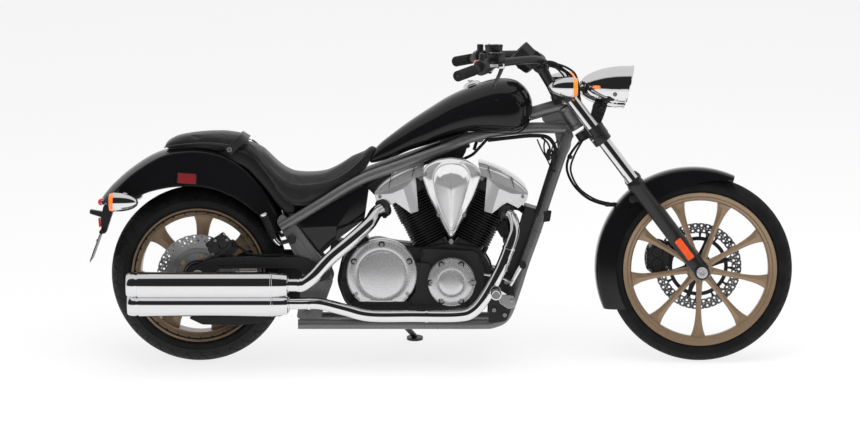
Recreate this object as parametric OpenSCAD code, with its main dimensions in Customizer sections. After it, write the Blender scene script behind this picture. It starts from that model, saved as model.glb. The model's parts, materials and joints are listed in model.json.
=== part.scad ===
// Chopper motorcycle parked on its side stand.
// Long raked fork, exposed neck, air gap over a finned V-twin, shaft drive, 21 in front wheel
// and wide 18 in rear wheel.
// Row frame: +X forward, +Y to the rider's left, +Z up, ground at z = 0, origin under the middle
// of the bounding box. The whole machine leans to its left, onto the stand.
// Inside posed() the machine is upright: x = 0 at the rear axle, y = 0 the centre plane.

/* [Chassis] */
// Distance between the axles
wheelbase = 1805; // [1780:1:2200]
// Lean onto the side stand, degrees
lean = 9; // [5:0.5:14]
// Steering head angle from the vertical, degrees
rake = 32; // [28:0.5:38]
// Fork tube angle from the vertical, degrees
fork_rake = 37.1; // [32:0.1:42]
// Trail of the steering axis at the ground
trail = 92; // [60:1:140]
// Half the distance between the lower rails
rail_half = 110; // [95:1:130]
// Radius of the frame tubes
frame_r = 18; // [14:0.5:24]
// Height of the lower rails' centre line
lower_rail_z = 145; // [120:1:180]

/* [Wheels] */
// Outer radius of the rear tyre
rear_tyre_r = 317.5; // [290:0.5:340]
// Width of the rear tyre
rear_tyre_w = 200; // [150:1:220]
// Radius of the rear tread crown, across the tyre
rear_crown_r = 125; // [100:1:160]
// Radius of the rear rim flange
rear_flange_r = 241; // [220:1:260]
// Outer radius of the front tyre
front_tyre_r = 334; // [310:0.5:360]
// Width of the front tyre
front_tyre_w = 90; // [80:1:110]
// Radius of the front tread crown, across the tyre
front_crown_r = 50; // [40:1:60]
// Radius of the front rim flange
front_flange_r = 278; // [250:1:290]
// Radius of the rear brake disc
rear_disc_r = 148; // [120:1:160]
// Radius of the front brake disc
front_disc_r = 159; // [130:1:170]
// Number of rear spokes
rear_spokes = 7; // [5:1:10]
// Number of front spokes
front_spokes = 9; // [5:1:12]

/* [Engine] */
// Angle between the cylinders, degrees
vee = 52; // [42:1:60]
// Crankshaft's distance ahead of the rear axle
crank_x = 908; // [850:1:950]
// Crankshaft height
crank_z = 302; // [270:1:330]
// Half width of the crankcase
case_half = 105; // [90:1:120]
// Radius of the clutch cover
clutch_cover_r = 126; // [100:1:140]
// Radius of the timing cover
timing_cover_r = 85; // [60:1:100]
// Cooling fins on each cylinder
fins = 12; // [6:1:16]

/* [Controls] */
// Half width of the handlebar over the grips
bar_half = 440; // [380:1:500]
// Height of the grips above the ground line
grip_z = 1057; // [950:1:1150]
// Spacing of the fork tubes
fork_spacing = 224; // [200:1:250]
// Radius of the fork tubes
fork_tube_r = 22.5; // [18:0.5:26]
// Radius of the fork sliders
slider_r = 28; // [24:0.5:32]
// Length of the rider's footpegs
peg_len = 120; // [80:1:150]

/* [Exhaust] */
// Radius of the mufflers
muffler_r = 46; // [35:1:55]
// Radius of the header pipes
header_r = 21; // [16:0.5:26]
// Forward end of the mufflers
muffler_front_x = 330; // [280:1:380]
// Rear end of the mufflers
muffler_rear_x = -248; // [-300:1:-150]

/* [Hidden] */
$fn = 64;

gap = 0.3;                          // seat between fixed neighbours
play = 0.05;                        // radial running clearance of the axles
axle_r = 12.5;
rear_z = rear_tyre_r - rear_crown_r + rear_crown_r / cos(lean);
front_z = front_tyre_r - front_crown_r + front_crown_r / cos(lean);
fork_half = fork_spacing / 2;
disc_y = fork_half - 34;            // outer face of the front disc
overall_front = wheelbase + front_tyre_r;
overall_rear = -395;
origin_x = (overall_front + overall_rear) / 2;
origin_y = 154.7;

black = [0.04, 0.04, 0.045];
gunmetal = [0.22, 0.23, 0.25];
bronze = [0.5, 0.4, 0.3];
chrome = [0.8, 0.8, 0.82];
silver = [0.62, 0.62, 0.63];
rubber = [0.07, 0.07, 0.07];
amber = [0.9, 0.45, 0.05];
red = [0.6, 0.03, 0.03];

// ---- placing ----

module posed() {
  translate([-origin_x, -origin_y, 0])
    rotate([-lean, 0, 0])
      children();
}

module both_sides() {
  children();
  mirror([0, 1, 0])
    children();
}

function steer_at(z) = [wheelbase + trail - z * tan(rake), 0, z];
function fork_at(z, y) = [wheelbase + (front_z - z) * tan(fork_rake), y, z];
function unit(v) = v / norm(v);

head_mid = 885;                     // height of the steering head's middle
neck_x = steer_at(head_mid)[0];     // and its place along the machine

// ---- shapes ----

// Round bar from a to b.
module rod(a, b, r) {
  d = b - a;
  translate(a)
    rotate([0, acos(d[2] / norm(d)), atan2(d[1], d[0])])
      cylinder(h = norm(d), r = r);
}

// Bar across the machine at x, z.
module cross_bar(x, z, y0, y1, r) {
  translate([x, y0, z])
    rotate([-90, 0, 0])
      cylinder(h = y1 - y0, r = r);
}

// Plate in the side view, polygon given as [x, z], from y0 to y1.
module side_plate(p, y0, y1) {
  translate([0, y1, 0])
    rotate([90, 0, 0])
      linear_extrude(height = y1 - y0)
        polygon(p);
}

// Catmull-Rom curve through a list of points, n steps a span.
function curve_point(a, b, c, d, t) =
  0.5 * (2 * b + (c - a) * t + (2 * a - 5 * b + 4 * c - d) * t * t
         + (3 * b - a - 3 * c + d) * t * t * t);
function curve(p, n) = concat(
  [for (i = [0:len(p) - 2], j = [0:n - 1])
    curve_point(p[max(i - 1, 0)], p[i], p[i + 1], p[min(i + 2, len(p) - 1)], j / n)],
  [p[len(p) - 1]]);

// Solid skin over rings of points. Full sections end in fans, thin U sections in strips.
module loft(rings, thin = false) {
  m = len(rings);
  n = len(rings[0]);
  last = (m - 1) * n;
  mids = [for (r = [rings[0], rings[m - 1]]) [for (k = [0:2]) [for (q = r) q[k]] * [for (q = r) 1 / n]]];
  skin = [for (i = [0:m - 2], j = [0:n - 1], half = [0, 1])
    half == 0
      ? [i * n + j, (i + 1) * n + j, i * n + (j + 1) % n]
      : [i * n + (j + 1) % n, (i + 1) * n + j, (i + 1) * n + (j + 1) % n]];
  fans = [for (j = [0:n - 1], end = [0, 1])
    end == 0 ? [m * n, j, (j + 1) % n] : [m * n + 1, last + (j + 1) % n, last + j]];
  strips = [for (j = [0:n / 2 - 2], end = [0, last], half = [0, 1])
    let (f = end + j, g = end + n - 1 - j)
    end == 0
      ? (half == 0 ? [f, f + 1, g] : [f + 1, g - 1, g])
      : (half == 0 ? [f, g, f + 1] : [f + 1, g, g - 1])];
  points = [for (r = rings, q = r) q];
  if (thin)
    polyhedron(points = points, faces = concat(skin, strips));
  else
    polyhedron(points = concat(points, mids), faces = concat(skin, fans));
}

// Smooth bar through points, radius r, sides facets round it, steps pieces a span.
module bent_bar(p, r, sides = 20, steps = 3) {
  c = curve(p, steps);
  k = len(c) - 1;
  t = [for (i = [0:k]) unit(c[min(i + 1, k)] - c[max(i - 1, 0)])];
  start = unit(cross(t[0], abs(t[0][1]) > 0.7 ? [0, 0, 1] : [0, 1, 0]));
  u = [for (i = 0, a = start; i <= k; i = i + 1, a = i > k ? a : unit(a - (a * t[i]) * t[i])) a];
  loft([for (i = [0:k])
    [for (j = [0:sides - 1])
      c[i] + r * (cos(360 * j / sides) * u[i] + sin(360 * j / sides) * cross(t[i], u[i]))]]);
}

// ---- frame ----

rail_path = [[neck_x - 26, 26, 842], [neck_x - 164, 38, 842], [1010, 75, 822], [867, 100, 770],
             [724, 116, 718], [581, 120, 664], [438, 120, 579], [298, 120, 494]];
down_top = [[neck_x - 13, 30, 826], [neck_x - 46, 46, 732], [neck_x - 83, 62, 624], [neck_x - 131, 84, 480]];
down_low = [[neck_x - 131, 84, 480], [neck_x - 171, 98, 371], [neck_x - 206, 106, 262],
            [neck_x - 240, rail_half, 176], [neck_x - 284, rail_half, 149],
            [neck_x - 333, rail_half, lower_rail_z]];
backbone_r = 24;
head_low = 838;                     // heights of the head tube's ends
head_top = 932;
stem_r = 14;
head_r = 33;

module head_tube(grow) {
  rod(steer_at(head_low - grow), steer_at(head_top + grow), head_r + grow);
}

module backbone(grow) {
  bent_bar([[neck_x - 12, 0, 880], [neck_x - 82, 0, 888], [neck_x - 145, 0, 884], [1000, 0, 846],
            [867, 0, 796]], backbone_r + grow);
  cross_bar(867, 780, -100, 100, frame_r + grow);
}

// Steering head with its gusset.
module steering_head() {
  color(gunmetal) posed() difference() {
    union() {
      head_tube(0);
      side_plate([[neck_x - 48, 905], [neck_x - 14, 925], [neck_x + 8, 855], [neck_x - 48, 850]], -9, 9);
    }
    rod(steer_at(head_low - 60), steer_at(head_top + 60), stem_r + play);
    backbone(gap);
  }
}

// Top tube under the tank and the cross tube that ties it to the rails.
module frame_backbone() {
  color(gunmetal) posed() difference() {
    backbone(0);
    head_tube(gap);
    both_sides() bent_bar(rail_path, frame_r + gap);
  }
}

// Side rails from the neck, under the tank and down to the pivots.
module frame_upper_rails() {
  color(gunmetal) posed() both_sides() difference() {
    bent_bar(rail_path, frame_r);
    head_tube(gap);
    translate([0, -200, 0]) cube([2000, 200, 2000]);
  }
}

// Down tubes in front of the engine.
module frame_downtubes() {
  color(gunmetal) posed() both_sides() difference() {
    bent_bar(down_top, frame_r);
    head_tube(gap);
    bent_bar(rail_path, frame_r + gap);
  }
}

// Bends and cradle rails under the engine, with the stand's lug on the left.
module frame_lower_rails() {
  color(gunmetal) posed() {
    both_sides()
      bent_bar(concat([down_low[0] + 0.9 * unit(down_low[1] - down_low[0])],
                      [for (i = [1:len(down_low) - 1]) down_low[i]],
                      [[358, rail_half, lower_rail_z]]), frame_r);
  }
}

plate_profile = [[280, 516], [300, 545], [362, 494], [400, 440], [452, 372], [486, 305],
                 [462, 240], [440, 166], [352, 164], [360, 210], [374, 330], [320, 449]];

// Side plates that carry the swingarm pivot.
module pivot_plates() {
  color(gunmetal) posed() both_sides() difference() {
    side_plate(plate_profile, rail_half - 13, rail_half + 5);
    bent_bar(rail_path, frame_r + gap);
    rod([300, rail_half, lower_rail_z], [600, rail_half, lower_rail_z], frame_r + gap);
    cross_bar(445, 330, 0, 200, 12 + gap);
  }
}

// Battery and air box inside the frame, behind the rear cylinder.
module battery_box() {
  color(black) posed()
    side_plate([[384, 300], [500, 300], [500, 420], [604, 470], [604, 600], [470, 540], [384, 480]],
               -rail_half + 14, rail_half - 14);
}

// Triangular covers under the rails.
module side_covers() {
  color(black) posed() both_sides() difference() {
    side_plate([[352, 510], [430, 548], [610, 655], [624, 640], [592, 552], [499, 476], [474, 448],
                [436, 408], [380, 462]], 122, 136);
    bent_bar(rail_path, frame_r + gap);
    side_plate(plate_profile, rail_half - 14, rail_half + 5 + gap);
  }
}

arm_profile = [[-42, 322], [-30, 352], [4, 364], [60, 388], [200, 390], [366, 390], [440, 366],
               [476, 340], [476, 318], [440, 300], [400, 316], [352, 350], [70, 348], [40, 300],
               [8, 280], [-28, 288]];

// Swingarm: arms each side of the wheel, a cross member and the pivot shaft.
module swingarm() {
  color(black) posed() difference() {
    union() {
      side_plate(arm_profile, rail_half + 6, rail_half + 32);
      side_plate(arm_profile, -rail_half - 32, -rail_half - 6);
      translate([323, -rail_half - 7, 342]) cube([23, 2 * rail_half + 14, 44]);
      both_sides() cross_bar(445, 330, rail_half - 13, rail_half + 20, 12);
    }
    cross_bar(0, rear_z, -200, 200, axle_r + gap);
  }
}

// Shaft tube and bevel gear housing at the left end of the rear axle.
module final_drive() {
  color(silver) posed() difference() {
    union() {
      cross_bar(0, rear_z, 84, 176, 76);
      cross_bar(0, rear_z, 176, 182, 52);
      rod([60, 172, 322], [452, 172, 330], 27);
    }
    cross_bar(0, rear_z, 60, 200, axle_r + gap);
    side_plate([for (p = arm_profile) [p[0], p[1]]], rail_half + 5, rail_half + 33);
    translate([-60, rail_half + 5, 264]) cube([130, 28, 130]);
  }
}

// Axle with its end nuts.
module rear_axle() {
  color(chrome) posed() {
    cross_bar(0, rear_z, -158, 198, axle_r);
    cross_bar(0, rear_z, -158, -rail_half - 32 - gap, 22);
    cross_bar(0, rear_z, 182 + gap, 198, 22);
  }
}

// Caliper over the front upper edge of the rear disc.
module rear_caliper() {
  color(black) posed() difference() {
    translate([78, 0, 425])
      rotate([0, -35, 0])
        translate([-38, -128, -28])
          cube([76, 60, 62]);
    cross_bar(0, rear_z, -103, -87, rear_disc_r + 6);
    side_plate([[-100, 200], [-100, 389], [60, 389], [60, 388.5], [200, 390 + gap], [400, 390 + gap], [400, 200]], -rail_half - 32 - 1, -rail_half - 6 + 1);
  }
}

// ---- tank and seats ----

// x, top, bottom, half width
tank_stations = [[620, 752, 716, 34], [650, 786, 722, 46], [700, 826, 738, 62], [760, 870, 764, 80],
                 [830, 916, 786, 98], [900, 959, 810, 113], [975, 993, 828, 124],
                 [1047, 1017, 829, 130], [1100, 1023, 826, 127], [1140, 1016, 826, 114],
                 [1166, 999, 838, 95], [1184, 978, 862, 72], [1196, 952, 888, 42]];

function tank_ring(s, n) = [for (j = [0:n - 1])
  let (a = 360 * j / n, c = cos(a), d = sin(a), mid = s[2] + 0.4 * (s[1] - s[2]))
  [s[0], s[3] * sign(c) * pow(abs(c), 0.82),
   mid + (d > 0 ? (s[1] - mid) * pow(d, 0.9) : -(mid - s[2]) * pow(-d, 0.55))]];

// Long teardrop tank straddling the backbone.
module fuel_tank() {
  color(black) posed() difference() {
    loft([for (s = tank_stations) tank_ring(s, 32)]);
    backbone(6);
    translate([600, -backbone_r - 6, 690]) cube([700, 2 * backbone_r + 12, 130]);
    both_sides() bent_bar(rail_path, frame_r + 2);
    translate(0.3 * [0.29, 0, -0.96]) cap_at(34 + gap, 60);
  }
}

module cap_at(r, h) {
  translate([985, 0, 984])
    rotate([0, -17, 0])
      cylinder(h = h, r = r);
}

// Filler cap let into the tank's crown.
module fuel_cap() {
  color(chrome) posed() {
    cap_at(34, 22);
    cap_at(27, 26);
  }
}

// x, top, bottom, half width
seat_stations = [[160, 798, 772, 62], [184, 800, 752, 86], [215, 783, 712, 106], [250, 745, 676, 122],
                 [291, 707, 636, 132], [330, 687, 592, 136], [372, 679, 572, 134],
                 [420, 680, 579, 126], [471, 689, 602, 112], [520, 714, 632, 92],
                 [570, 751, 680, 66], [600, 775, 704, 50], [620, 788, 740, 36],
                 [636, 782, 764, 20]];

function pad_ring(s, n, k) = [for (j = [0:n - 1])
  let (a = 360 * j / n, c = cos(a), d = sin(a), mid = s[2] + 0.35 * (s[1] - s[2]))
  [s[0], s[3] * sign(c) * pow(abs(c), k),
   mid + (d > 0 ? (s[1] - mid) * pow(d, 0.8) : -(mid - s[2]) * pow(-d, 0.45))]];

// Scooped rider's saddle.
module seat() {
  color(rubber) posed() difference() {
    loft([for (s = seat_stations) pad_ring(s, 28, 0.62)]);
    loft([for (s = tank_stations) tank_ring(s + [0, gap, -gap, gap], 32)]);
    both_sides() bent_bar(rail_path, frame_r + gap);
    fender_body(gap);
  }
}

pillion_stations = [[-128, 782, 770, 40], [-112, 798, 766, 62], [-85, 811, 768, 76],
                    [-40, 821, 771, 86], [20, 828, 773, 92], [80, 829, 772, 94],
                    [125, 827, 770, 88], [150, 823, 768, 76]];

// Passenger pad on the fender.
module pillion_seat() {
  color(rubber) posed() difference() {
    loft([for (s = pillion_stations) pad_ring(s, 28, 0.6)]);
    loft([for (s = seat_stations) pad_ring(s + [0, gap, -gap, gap], 28, 0.62)]);
    fender_body(gap);
  }
}

// ---- rear fender ----

// crown x, z; shoulder x, z; lower edge x, z; half width at the lower edge
fender_stations = [[-345, 594, -338, 588, -328, 574, 62], [-330, 614, -316, 602, -290, 574, 88],
                   [-304, 643, -290, 628, -238, 594, 108], [-250, 691, -236, 678, -180, 620, 117],
                   [-177, 740, -168, 724, -127, 633, 120], [-110, 766, -106, 752, -78, 640, 121],
                   [-30, 775, -32, 762, -27, 642, 121], [40, 770, 36, 758, 9, 640, 121],
                   [110, 748, 102, 738, 60, 630, 121], [170, 708, 158, 702, 116, 608, 120],
                   [222, 656, 208, 652, 165, 580, 119], [262, 604, 246, 602, 205, 548, 112],
                   [296, 540, 280, 540, 240, 506, 100], [314, 480, 300, 480, 268, 462, 92]];
fender_t = 5;

function fender_arc(s, t) = [for (j = [-10:10])
  let (f = j / 10, g = abs(f), w = (s[6] - t) * (g < 0.5 ? 1.66 * g : 0.83 + 0.34 * (g - 0.5)),
       up = g < 0.5 ? 0 : (g - 0.5) / 0.5,
       side = g < 0.5 ? pow(g / 0.5, 2.2) : 1)
  [s[0] + (s[2] - s[0]) * side + (s[4] - s[2]) * up,
   sign(f) * w,
   s[1] + (s[3] - s[1]) * side + (s[5] - s[3]) * up]];

function fender_ring(s, grow) =
  let (c = unit([s[0], 0, s[1] - 318]), outer = fender_arc(s, -grow), inner = fender_arc(s, fender_t + grow))
  concat([for (q = outer) q + c * grow],
         [for (j = [0:20]) inner[20 - j] - c * (fender_t + grow) * (abs(j - 10) < 9.5 ? 1 : 0)]);

module fender_body(grow) {
  k = len(fender_stations) - 1;
  loft([for (i = [0:k]) fender_ring(fender_stations[k - i], grow)], true);
}

// Deep rear fender with skirts down each side of the tyre.
module rear_fender() {
  color(black) posed() fender_body(0);
}

// Tail light bar set into the fender's tip.
module tail_light() {
  color(red) posed() difference() {
    union() {
      cross_bar(-352, 578, -34, 34, 12);
      both_sides() translate([-352, 34, 578]) sphere(r = 12);
    }
    fender_body(gap);
  }
}

plate_hole_half = 73;

// Bracket, hinged number plate and plate lamp under the tail.
module plate_holder() {
  color(black) posed() {
    difference() {
      union() {
        side_plate([[-345, 568], [-300, 572], [-318, 520], [-338, 462], [-352, 462], [-352, 520]], -30, 30);
        translate([-350, 0, 470]) rotate([0, 20.3, 0]) translate([0, -90, -112]) cube([4, 180, 112]);
        side_plate([[-395, 548], [-395, 532], [-350, 520], [-345, 540]], -14, 14);
      }
      fender_body(gap);
      cross_bar(-352, 578, -80, 80, 12 + gap);
      both_sides() translate([-350, 0, 470]) rotate([0, 20.3, 0]) translate([-8, plate_hole_half, -30])
        rotate([0, 90, 0]) cylinder(h = 20, r = 3);
    }
  }
}

module bullet_lamp(len, r, back) {
  rotate([0, back * 90, 0])
    rotate_extrude()
      polygon(concat([[0, 0], [r, 0]],
                     [for (i = [1:9]) [r * sqrt(1 - pow(i / 9.4, 2.2)), len * i / 9]], [[0, len]]));
}

// Rear direction lamps on short stalks from the fender.
module rear_turn_signals() {
  color(chrome) posed() both_sides() {
    translate([-296, 152, 588]) bullet_lamp(86, 34, 1);
    translate([-296, 152, 588]) rotate([0, -90, 0]) cylinder(h = 16, r1 = 33, r2 = 25);
    difference() {
      rod([-262, 90, 600], [-262, 140, 594], 11);
      fender_body(0.8);
    }
  }
}

// ---- engine ----

case_profile = [[520, 380], [552, 418], [640, 446], [700, 430], [800, 420], [908, 440], [1010, 420],
                [1052, 350], [1040, 262], [985, 206], [880, 186], [600, 186], [528, 214], [500, 290]];
case_r = 46;

// A frame along a cylinder: origin at the crank, z up the bore.
module along(side) {
  translate([crank_x, 0, crank_z])
    rotate([0, side * vee / 2, 0])
      children();
}

// Crankcase with the cylinders' decks.
module crankcase() {
  color(black) posed() difference() {
    side_plate(case_profile, -case_half, case_half);
    for (s = [-1, 1]) along(s) translate([-90, -200, 148]) cube([180, 400, 400]);
    both_sides() rod([300, rail_half, lower_rail_z], [1100, rail_half, lower_rail_z], frame_r + 2);
  }
}

// Round clutch cover with a flat foot, right side.
module clutch_cover() {
  color(silver) posed() difference() {
    union() {
      cross_bar(659, 330, -172, -case_half - gap, clutch_cover_r);
      cross_bar(659, 316, -184, -172, 84);
    }
    translate([500, -200, 100]) cube([320, 120, 131]);
    timing_disc(gap);
  }
}

module timing_disc(grow) {
  cross_bar(crank_x, crank_z, -180 - grow, -case_half - gap + grow, timing_cover_r + grow);
}

// Round timing cover on the crankshaft's right end.
module timing_cover() {
  color(silver) posed() {
    timing_disc(0);
    cross_bar(crank_x, crank_z, -188, -180, 44);
  }
}

// Alternator cover on the crankshaft's left end.
module alternator_cover() {
  color(silver) posed() {
    cross_bar(crank_x - 20, crank_z + 8, case_half + gap, 158, 108);
    cross_bar(crank_x - 20, crank_z + 8, 158, 170, 70);
    cross_bar(690, 330, case_half + gap, 140, 84);
  }
}

fin_w = 146;
fin_from = 158;
fin_to = 338;

module round_square(w, d, r) {
  square([w - 2 * r, d], center = true);
  square([w, d - 2 * r], center = true);
  for (x = [-1, 1], y = [-1, 1])
    translate([x * (w / 2 - r), y * (d / 2 - r)]) circle(r = r, $fn = 32);
}

// Barrel, fins and head block of one cylinder.
module cylinder_unit(side) {
  color(black) posed() along(side) {
    translate([0, 0, 148 + gap]) cylinder(h = fin_to - 148, r = 56);
    for (i = [0:fins - 1])
      translate([0, 0, fin_from + i * (fin_to - fin_from) / (fins - 1)])
        linear_extrude(height = 6) round_square(fin_w, 178, 34);
    translate([0, 0, fin_to + 3]) linear_extrude(height = 34) round_square(168, 184, 26);
  }
}

module cylinder_front() {
  cylinder_unit(1);
}

module cylinder_rear() {
  cylinder_unit(-1);
}

cover_profile = [[-108, 0], [104, 0], [106, 22], [100, 44], [70, 58], [-70, 58], [-98, 46], [-110, 24]];

// Chrome cover over the valve gear.
module rocker_cover(side) {
  color(chrome) posed() along(side) translate([0, 0, fin_to + 37 + gap])
    mirror([side < 0 ? 1 : 0, 0, 0])
      translate([0, 92, 0]) rotate([90, 0, 0]) linear_extrude(height = 184) polygon(cover_profile);
}

module rocker_cover_front() {
  rocker_cover(1);
}

module rocker_cover_rear() {
  rocker_cover(-1);
}

// Teardrop air cleaner between the cylinders, right side.
module air_cleaner() {
  color(chrome) posed() {
    side_plate([[903, 750], [935, 744], [1009, 716], [1013, 700], [952, 560], [926, 492], [903, 462],
                [880, 492], [852, 560], [796, 700], [800, 716], [870, 744]], -206, -150);
    side_plate([[870, 700], [936, 700], [924, 620], [882, 620]], -150, -56 - gap);
  }
}

// Intake body between the rocker covers.
module throttle_body() {
  color(black) posed() {
    side_plate([[852, 700], [954, 700], [950, 732], [930, 746], [876, 746], [856, 732]], -56, 56);
    rod([900, 0, 640], [900, 0, 700], 30);
  }
}

// Radiator behind the down tubes.
module radiator() {
  color(black) posed() difference() {
    side_plate([[neck_x - 122, 552], [neck_x - 168, 566], [neck_x - 240, 300], [neck_x - 194, 286]],
               -70, 70);
    both_sides() bent_bar(down_low, frame_r + gap);
    both_sides() bent_bar(down_top, frame_r + gap);
  }
}

// ---- exhaust ----

low_y = -184;
low_z = 228;
muffler_step = 2 * muffler_r + 3.3; // between the two axes, along a line leaning outwards
up_y = low_y - muffler_step * sin(39);
up_z = low_z + muffler_step * cos(39);
front_pipe = [[1096, -94, 548], [1122, -118, 532], [1132, -150, 490], [1117, -176, 439],
              [1081, -200, 349], [1029, -212, 254], [986, -212, 204], [930, -210, 187],
              [770, -204, 186], [617, -196, 186], [528, -188, 206], [440, low_y, low_z - 1], [372, low_y, low_z],
              [muffler_front_x + 0.3, low_y, low_z]];
rear_pipe = [[672, -94, 566], [640, -122, 548], [612, -160, 510], [539, -206, 446],
             [470, -228, 388], [416, up_y, 330], [378, up_y, up_z],
             [354, up_y, up_z], [muffler_front_x + gap, up_y, up_z]];

// Front cylinder's header, down and back along the right side.
module front_header() {
  color(chrome) posed() bent_bar(front_pipe, header_r, 20, 4);
}

// Rear cylinder's header with its heat shield.
module rear_header() {
  color(chrome) posed() bent_bar(rear_pipe, header_r + 3, 20, 4);
}

module muffler(y, z) {
  translate([muffler_rear_x, y, z])
    rotate([0, 90, 0])
      difference() {
        union() {
          cylinder(h = muffler_front_x - muffler_rear_x - 66, r = muffler_r);
          translate([0, 0, muffler_front_x - muffler_rear_x - 66])
            cylinder(h = 66 - gap, r1 = muffler_r, r2 = header_r + 4);
        }
        translate([0, 0, -1]) cylinder(h = 90, r = muffler_r - 12);
      }
}

// Two stacked mufflers and the bracket that holds them.
module mufflers() {
  color(chrome) posed() {
    muffler(up_y, up_z);
    muffler(low_y, low_z);
    difference() {
      union() {
        side_plate([[-32, 170], [12, 152], [150, 150], [274, 164], [372, 196], [372, 240], [270, 240], [40, 240]],
                   -136, -130);
        translate([60, low_y, 150]) cube([150, 54, 60]);
      }
      translate([-400, low_y, low_z]) rotate([0, 90, 0]) cylinder(h = 900, r = muffler_r - 1);
    }
    for (x = [40, 200])
      translate([x, up_y + 20, low_z + 22]) cube([30, 24, 24]);
  }
}

// ---- controls on the chassis ----

peg_x = neck_x - 279;
peg_z = 279;

module forward_set() {
  side_plate([for (p = [[-25, 132], [47, 150], [71, 250], [47, 330], [1, 330], [-21, 250]]) p + [peg_x, 0]],
             rail_half + frame_r, rail_half + frame_r + 12);
  rod([peg_x + 43, rail_half + frame_r + 4, 250], [peg_x + 2, 236, peg_z], 8);
  cross_bar(peg_x, peg_z, 232, 232 + peg_len, 18);
  cross_bar(peg_x + 53, 286, rail_half + frame_r + 4, 186, 9);
  rod([peg_x + 52, 180, 284], [peg_x + 95, 232, 374], 8);
  cross_bar(peg_x + 95, 374, 224, 300, 12);
}

// Footpegs, brake pedal and shift lever ahead of the engine.
module forward_controls() {
  color(silver) posed() both_sides() difference() {
    forward_set();
    bent_bar(down_low, frame_r + gap);
  }
}

// Folded passenger pegs on the pivot plates.
module passenger_pegs() {
  color(chrome) posed() both_sides() {
    cross_bar(338, 452, rail_half + 5 + gap, 158, 11);
    rod([338, 150, 452], [276, 150, 452], 9);
    rod([276, 150, 452], [236, 160, 548], 13);
  }
}

loom_run = neck_x - 1174;           // from the rails' bend to their front ends

// Loom along the rail to the steering head and down the right down tube.
module wiring_loom() {
  color(rubber) posed() {
    bent_bar([[1010 + 0.1765 * loom_run, -66 - frame_r, 805],
              [1010 + 0.647 * loom_run, -49 - frame_r, 813], [neck_x - 144, -35 - frame_r, 819],
              [neck_x - 88, -40 - frame_r, 812], [neck_x - 62, -68, 770], [neck_x - 72, -67, 730],
              [neck_x - 101, -80, 640], [neck_x - 114 - frame_r, -92, 540]], 7, 10, 4);
  }
}

// ---- steering ----

upper_clamp_z = 952;
lower_clamp_z = 818;
tube_top_z = 985;
slider_top_z = 655;

module clamp(z, t, r) {
  difference() {
    union() {
      both_sides() rod(fork_at(z - t / 2, fork_half), fork_at(z + t / 2, fork_half), r);
      rod(steer_at(z - t / 2), steer_at(z + t / 2), r - 4);
      intersection() {
        rod([fork_at(z, 0)[0], -fork_half, z], [fork_at(z, 0)[0], fork_half, z], t * 0.62);
        translate([0, -fork_half, z - t / 2]) cube([3000, fork_spacing, t]);
      }
      translate([steer_at(z)[0], -r + 6, z - t / 2 + 3])
        cube([fork_at(z, 0)[0] - steer_at(z)[0], 2 * r - 12, t - 6]);
    }
    both_sides() rod(fork_at(z - 100, fork_half), fork_at(z + 100, fork_half), fork_tube_r + gap);
  }
}

// Stem and the two clamps that hold the fork tubes.
module triple_clamps() {
  color(black) posed() difference() {
    union() {
      clamp(upper_clamp_z, 26, 34);
      clamp(lower_clamp_z, 32, 36);
      rod(steer_at(lower_clamp_z), steer_at(upper_clamp_z + 24), stem_r);
      rod(steer_at(upper_clamp_z), steer_at(upper_clamp_z + 26), 18);
    }
    difference() {
      head_tube(1.5);
      rod(steer_at(head_low - 60), steer_at(head_top + 60), stem_r);
    }
  }
}

// Bright upper fork tubes.
module fork_tubes() {
  color(chrome) posed() both_sides()
    rod(fork_at(slider_top_z - 90, fork_half), fork_at(tube_top_z, fork_half), fork_tube_r);
}

// One leg's two stays to the fender, their inner ends lengthened by extra.
module fork_stays(r, extra) {
  low_end = [wheelbase - 327, 55.3, 500];
  low_leg = [fork_at(500, 0)[0], fork_half, 500];
  top_end = [wheelbase - 245, 56.7, 590];
  top_leg = [fork_at(590, 0)[0], fork_half, 590];
  rod(low_end - extra * unit(low_leg - low_end), low_leg, r);
  rod(top_end - extra * unit(top_leg - top_end), top_leg, r);
}

// Lower fork legs with the axle clamps.
module fork_sliders() {
  color(black) posed() both_sides() difference() {
    union() {
      rod(fork_at(front_z + 4, fork_half), fork_at(slider_top_z, fork_half), slider_r);
      rod(fork_at(slider_top_z - 16, fork_half), fork_at(slider_top_z, fork_half), slider_r + 3);
      cross_bar(wheelbase, front_z, fork_half - 27, fork_half + 29, 27);
      rod(fork_at(front_z - 34, fork_half), fork_at(front_z + 4, fork_half), slider_r - 4);
      fork_stays(9, 0);
    }
    rod(fork_at(slider_top_z - 90 - gap, fork_half), fork_at(slider_top_z + 30, fork_half), fork_tube_r + gap);
    cross_bar(wheelbase, front_z, -300, 300, axle_r + gap);
  }
}

// Axle with its end caps.
module front_axle() {
  color(silver) posed() {
    cross_bar(wheelbase, front_z, -fork_half - 42, fork_half + 42, axle_r);
    cross_bar(wheelbase, front_z, -fork_half - 42, -fork_half - 29 - gap, 18);
    cross_bar(wheelbase, front_z, fork_half + 29 + gap, fork_half + 42, 18);
  }
}

front_skirt_r = 303;

function front_fender_r(a) = 359 + 25 * min(1, max(0, (a - 70) / 60)) - 7 * max(0, (a - 140) / 62);

function front_fender_arc(a, t) = [for (j = [-10:10])
  let (f = j / 10, g = abs(f), r1 = front_fender_r(a) - t,
       tip = min(1, (a - 66) / 32), low = r1 - 16 - (r1 - 16 - front_skirt_r) * tip,
       w = 60 - t, q = g < 0.55 ? g / 0.55 : 1,
       r = g < 0.55 ? r1 - 16 * pow(q, 2.4) : r1 - 16 - (r1 - 16 - low) * (g - 0.55) / 0.45)
  [wheelbase + r * cos(a), sign(f) * w * (g < 0.55 ? 0.9 * q : 0.9 + 0.1 * (g - 0.55) / 0.45), front_z + r * sin(a)]];

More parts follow.
